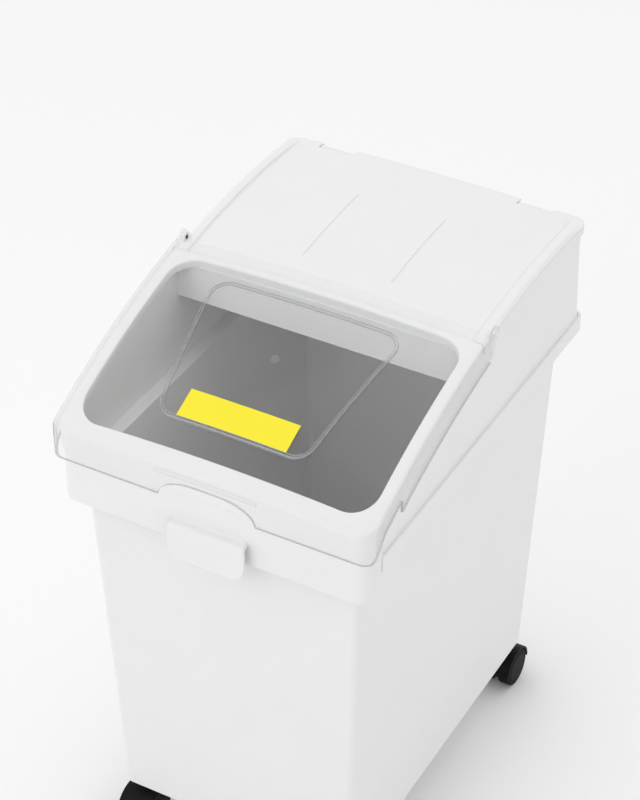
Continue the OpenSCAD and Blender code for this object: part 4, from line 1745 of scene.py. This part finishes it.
@dataclass(frozen=True)
class Softbox:
    """A square soft lamp that points at the bin.

    Attributes:
        name: The lamp's name.
        place: Where it hangs, in metres.
        size: Its width, in metres.
        power: Its power, in watts.
        aim: The point that it faces, in metres.
    """

    name: str
    place: Point
    size: float
    power: float
    aim: Point = (0.0, 0.0, 0.4)

    def build(self) -> None:
        """Hangs the lamp."""
        data = bpy.data.lights.new(self.name, "AREA")
        data.shape = "SQUARE"
        data.size = self.size
        data.energy = self.power
        lamp = new_object(self.name, data)
        lamp.location = self.place
        lamp.rotation_euler = facing(Vector(self.aim) - Vector(self.place))


@dataclass
class Studio:
    """Floor, soft light and the camera.

    Attributes:
        eye_mm: The camera's place, with y from the tub's middle.
        azimuth: Direction of the view round the bin, in degrees.
        elevation: Height of the view over the horizon, in degrees.
        lens_mm: Focal length for the image's long side.
        film_mm: Length of that side on the film.
        far_m: Farthest distance that the camera shows.
        floor_m: Width of the floor.
        sky: Strength of the light at the horizon and overhead.
        zenith: Direction of the light overhead.
        dim_side: Direction of the dim side of the room.
        dim: Share of the light that the dim side gives.
        lamps: The two soft lamps.
    """

    eye_mm: Point = (1063.0, -1941.0, 2217.0)
    azimuth: float = 29.02
    elevation: float = 37.11
    lens_mm: float = 111.4
    film_mm: float = 36.0
    far_m: float = 100.0
    floor_m: float = 40.0
    sky: Pair = (0.86, 1.04)
    zenith: Point = (0.0, 0.0, 1.0)
    dim_side: Point = (0.76, -0.64, 0.12)
    dim: float = 0.72
    lamps: tuple[Softbox, ...] = (
        Softbox("key_softbox", (-0.9, -2.8, 2.2), 1.8, 12.0),
        Softbox("top_softbox", (0.3, 0.6, 3.2), 2.4, 2.6))

    def build(self) -> None:
        """Builds the floor, the lights and the camera."""
        self.floor()
        self.light()
        for lamp in self.lamps:
            lamp.build()
        self.camera()

    def floor(self) -> None:
        """Lays a plain pale floor."""
        half = self.floor_m / 2
        mesh = bpy.data.meshes.new("studio_floor")
        corners = [(-half, -half, 0), (half, -half, 0), (half, half, 0), (-half, half, 0)]
        mesh.from_pydata(corners, [], [(0, 1, 2, 3)])
        mesh.materials.append(PALE_FLOOR.material())
        floor = new_object("studio_floor", mesh)

    def light(self) -> None:
        """Sets a white sky that is brightest overhead and weaker on the room's dim side."""
        world = bpy.data.worlds.new("studio_sky")
        world.use_nodes = True
        tree = world.node_tree
        sky = tree.nodes["Background"]
        sky.inputs["Color"].default_value = (1.0, 1.0, 1.0, 1.0)
        way = add_node(tree, "ShaderNodeTexCoord")
        parts = []
        for direction, (away, near) in ((self.dim_side, (1.0, self.dim)), (self.zenith, self.sky)):
            towards = add_node(
                tree, "ShaderNodeVectorMath", {"operation": "DOT_PRODUCT", 1: direction},
                {0: (way, "Generated")})
            parts.append(add_node(
                tree, "ShaderNodeMapRange", {"To Min": away, "To Max": near}, {"Value": (towards, "Value")}))
        both = add_node(
            tree, "ShaderNodeMath", {"operation": "MULTIPLY"},
            {k: (part, "Result") for k, part in enumerate(parts)})
        tree.links.new(both.outputs["Value"], sky.inputs["Strength"])
        bpy.context.scene.world = world
        bpy.context.scene.view_settings.view_transform = "Standard"

    def camera(self) -> None:
        """Stands the camera at the photograph's viewing angle."""
        data = bpy.data.cameras.new("studio_camera")
        data.lens = self.lens_mm
        data.sensor_width = self.film_mm
        data.clip_end = self.far_m
        camera = new_object("studio_camera", data)
        turn, lift = math.radians(self.azimuth), math.radians(self.elevation)
        back = Vector((math.sin(turn) * math.cos(lift), -math.cos(turn) * math.cos(lift), math.sin(lift)))
        x, y, z = self.eye_mm
        camera.location = (x * MM, (y + DATUM.middle_y) * MM, z * MM)
        camera.rotation_euler = facing(-back)
        bpy.context.scene.camera = camera


def main() -> None:
    """Builds the bin's looks in order."""
    logging.basicConfig(level=logging.INFO, format="%(name)s: %(message)s")
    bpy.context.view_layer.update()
    white = WHITE_POLYPROPYLENE.material()
    dress("tub", white)
    FrontBand().build(white)
    Hood().build(white)
    RearLid().build(white)
    ClearLid().build(CLEAR_POLYCARBONATE.material(), CLEAR_EDGE_PAINTED_SHADE.material())
    dress("label", YELLOW_VINYL.material())
    nylon, tread, steel = BLACK_NYLON.material(), BLACK_TREAD.material(), ZINC_STEEL.material()
    for corner in CORNERS:
        Caster(corner).dress(nylon, tread, steel)
    Studio().build()


if __name__ == "__main__":
    main()
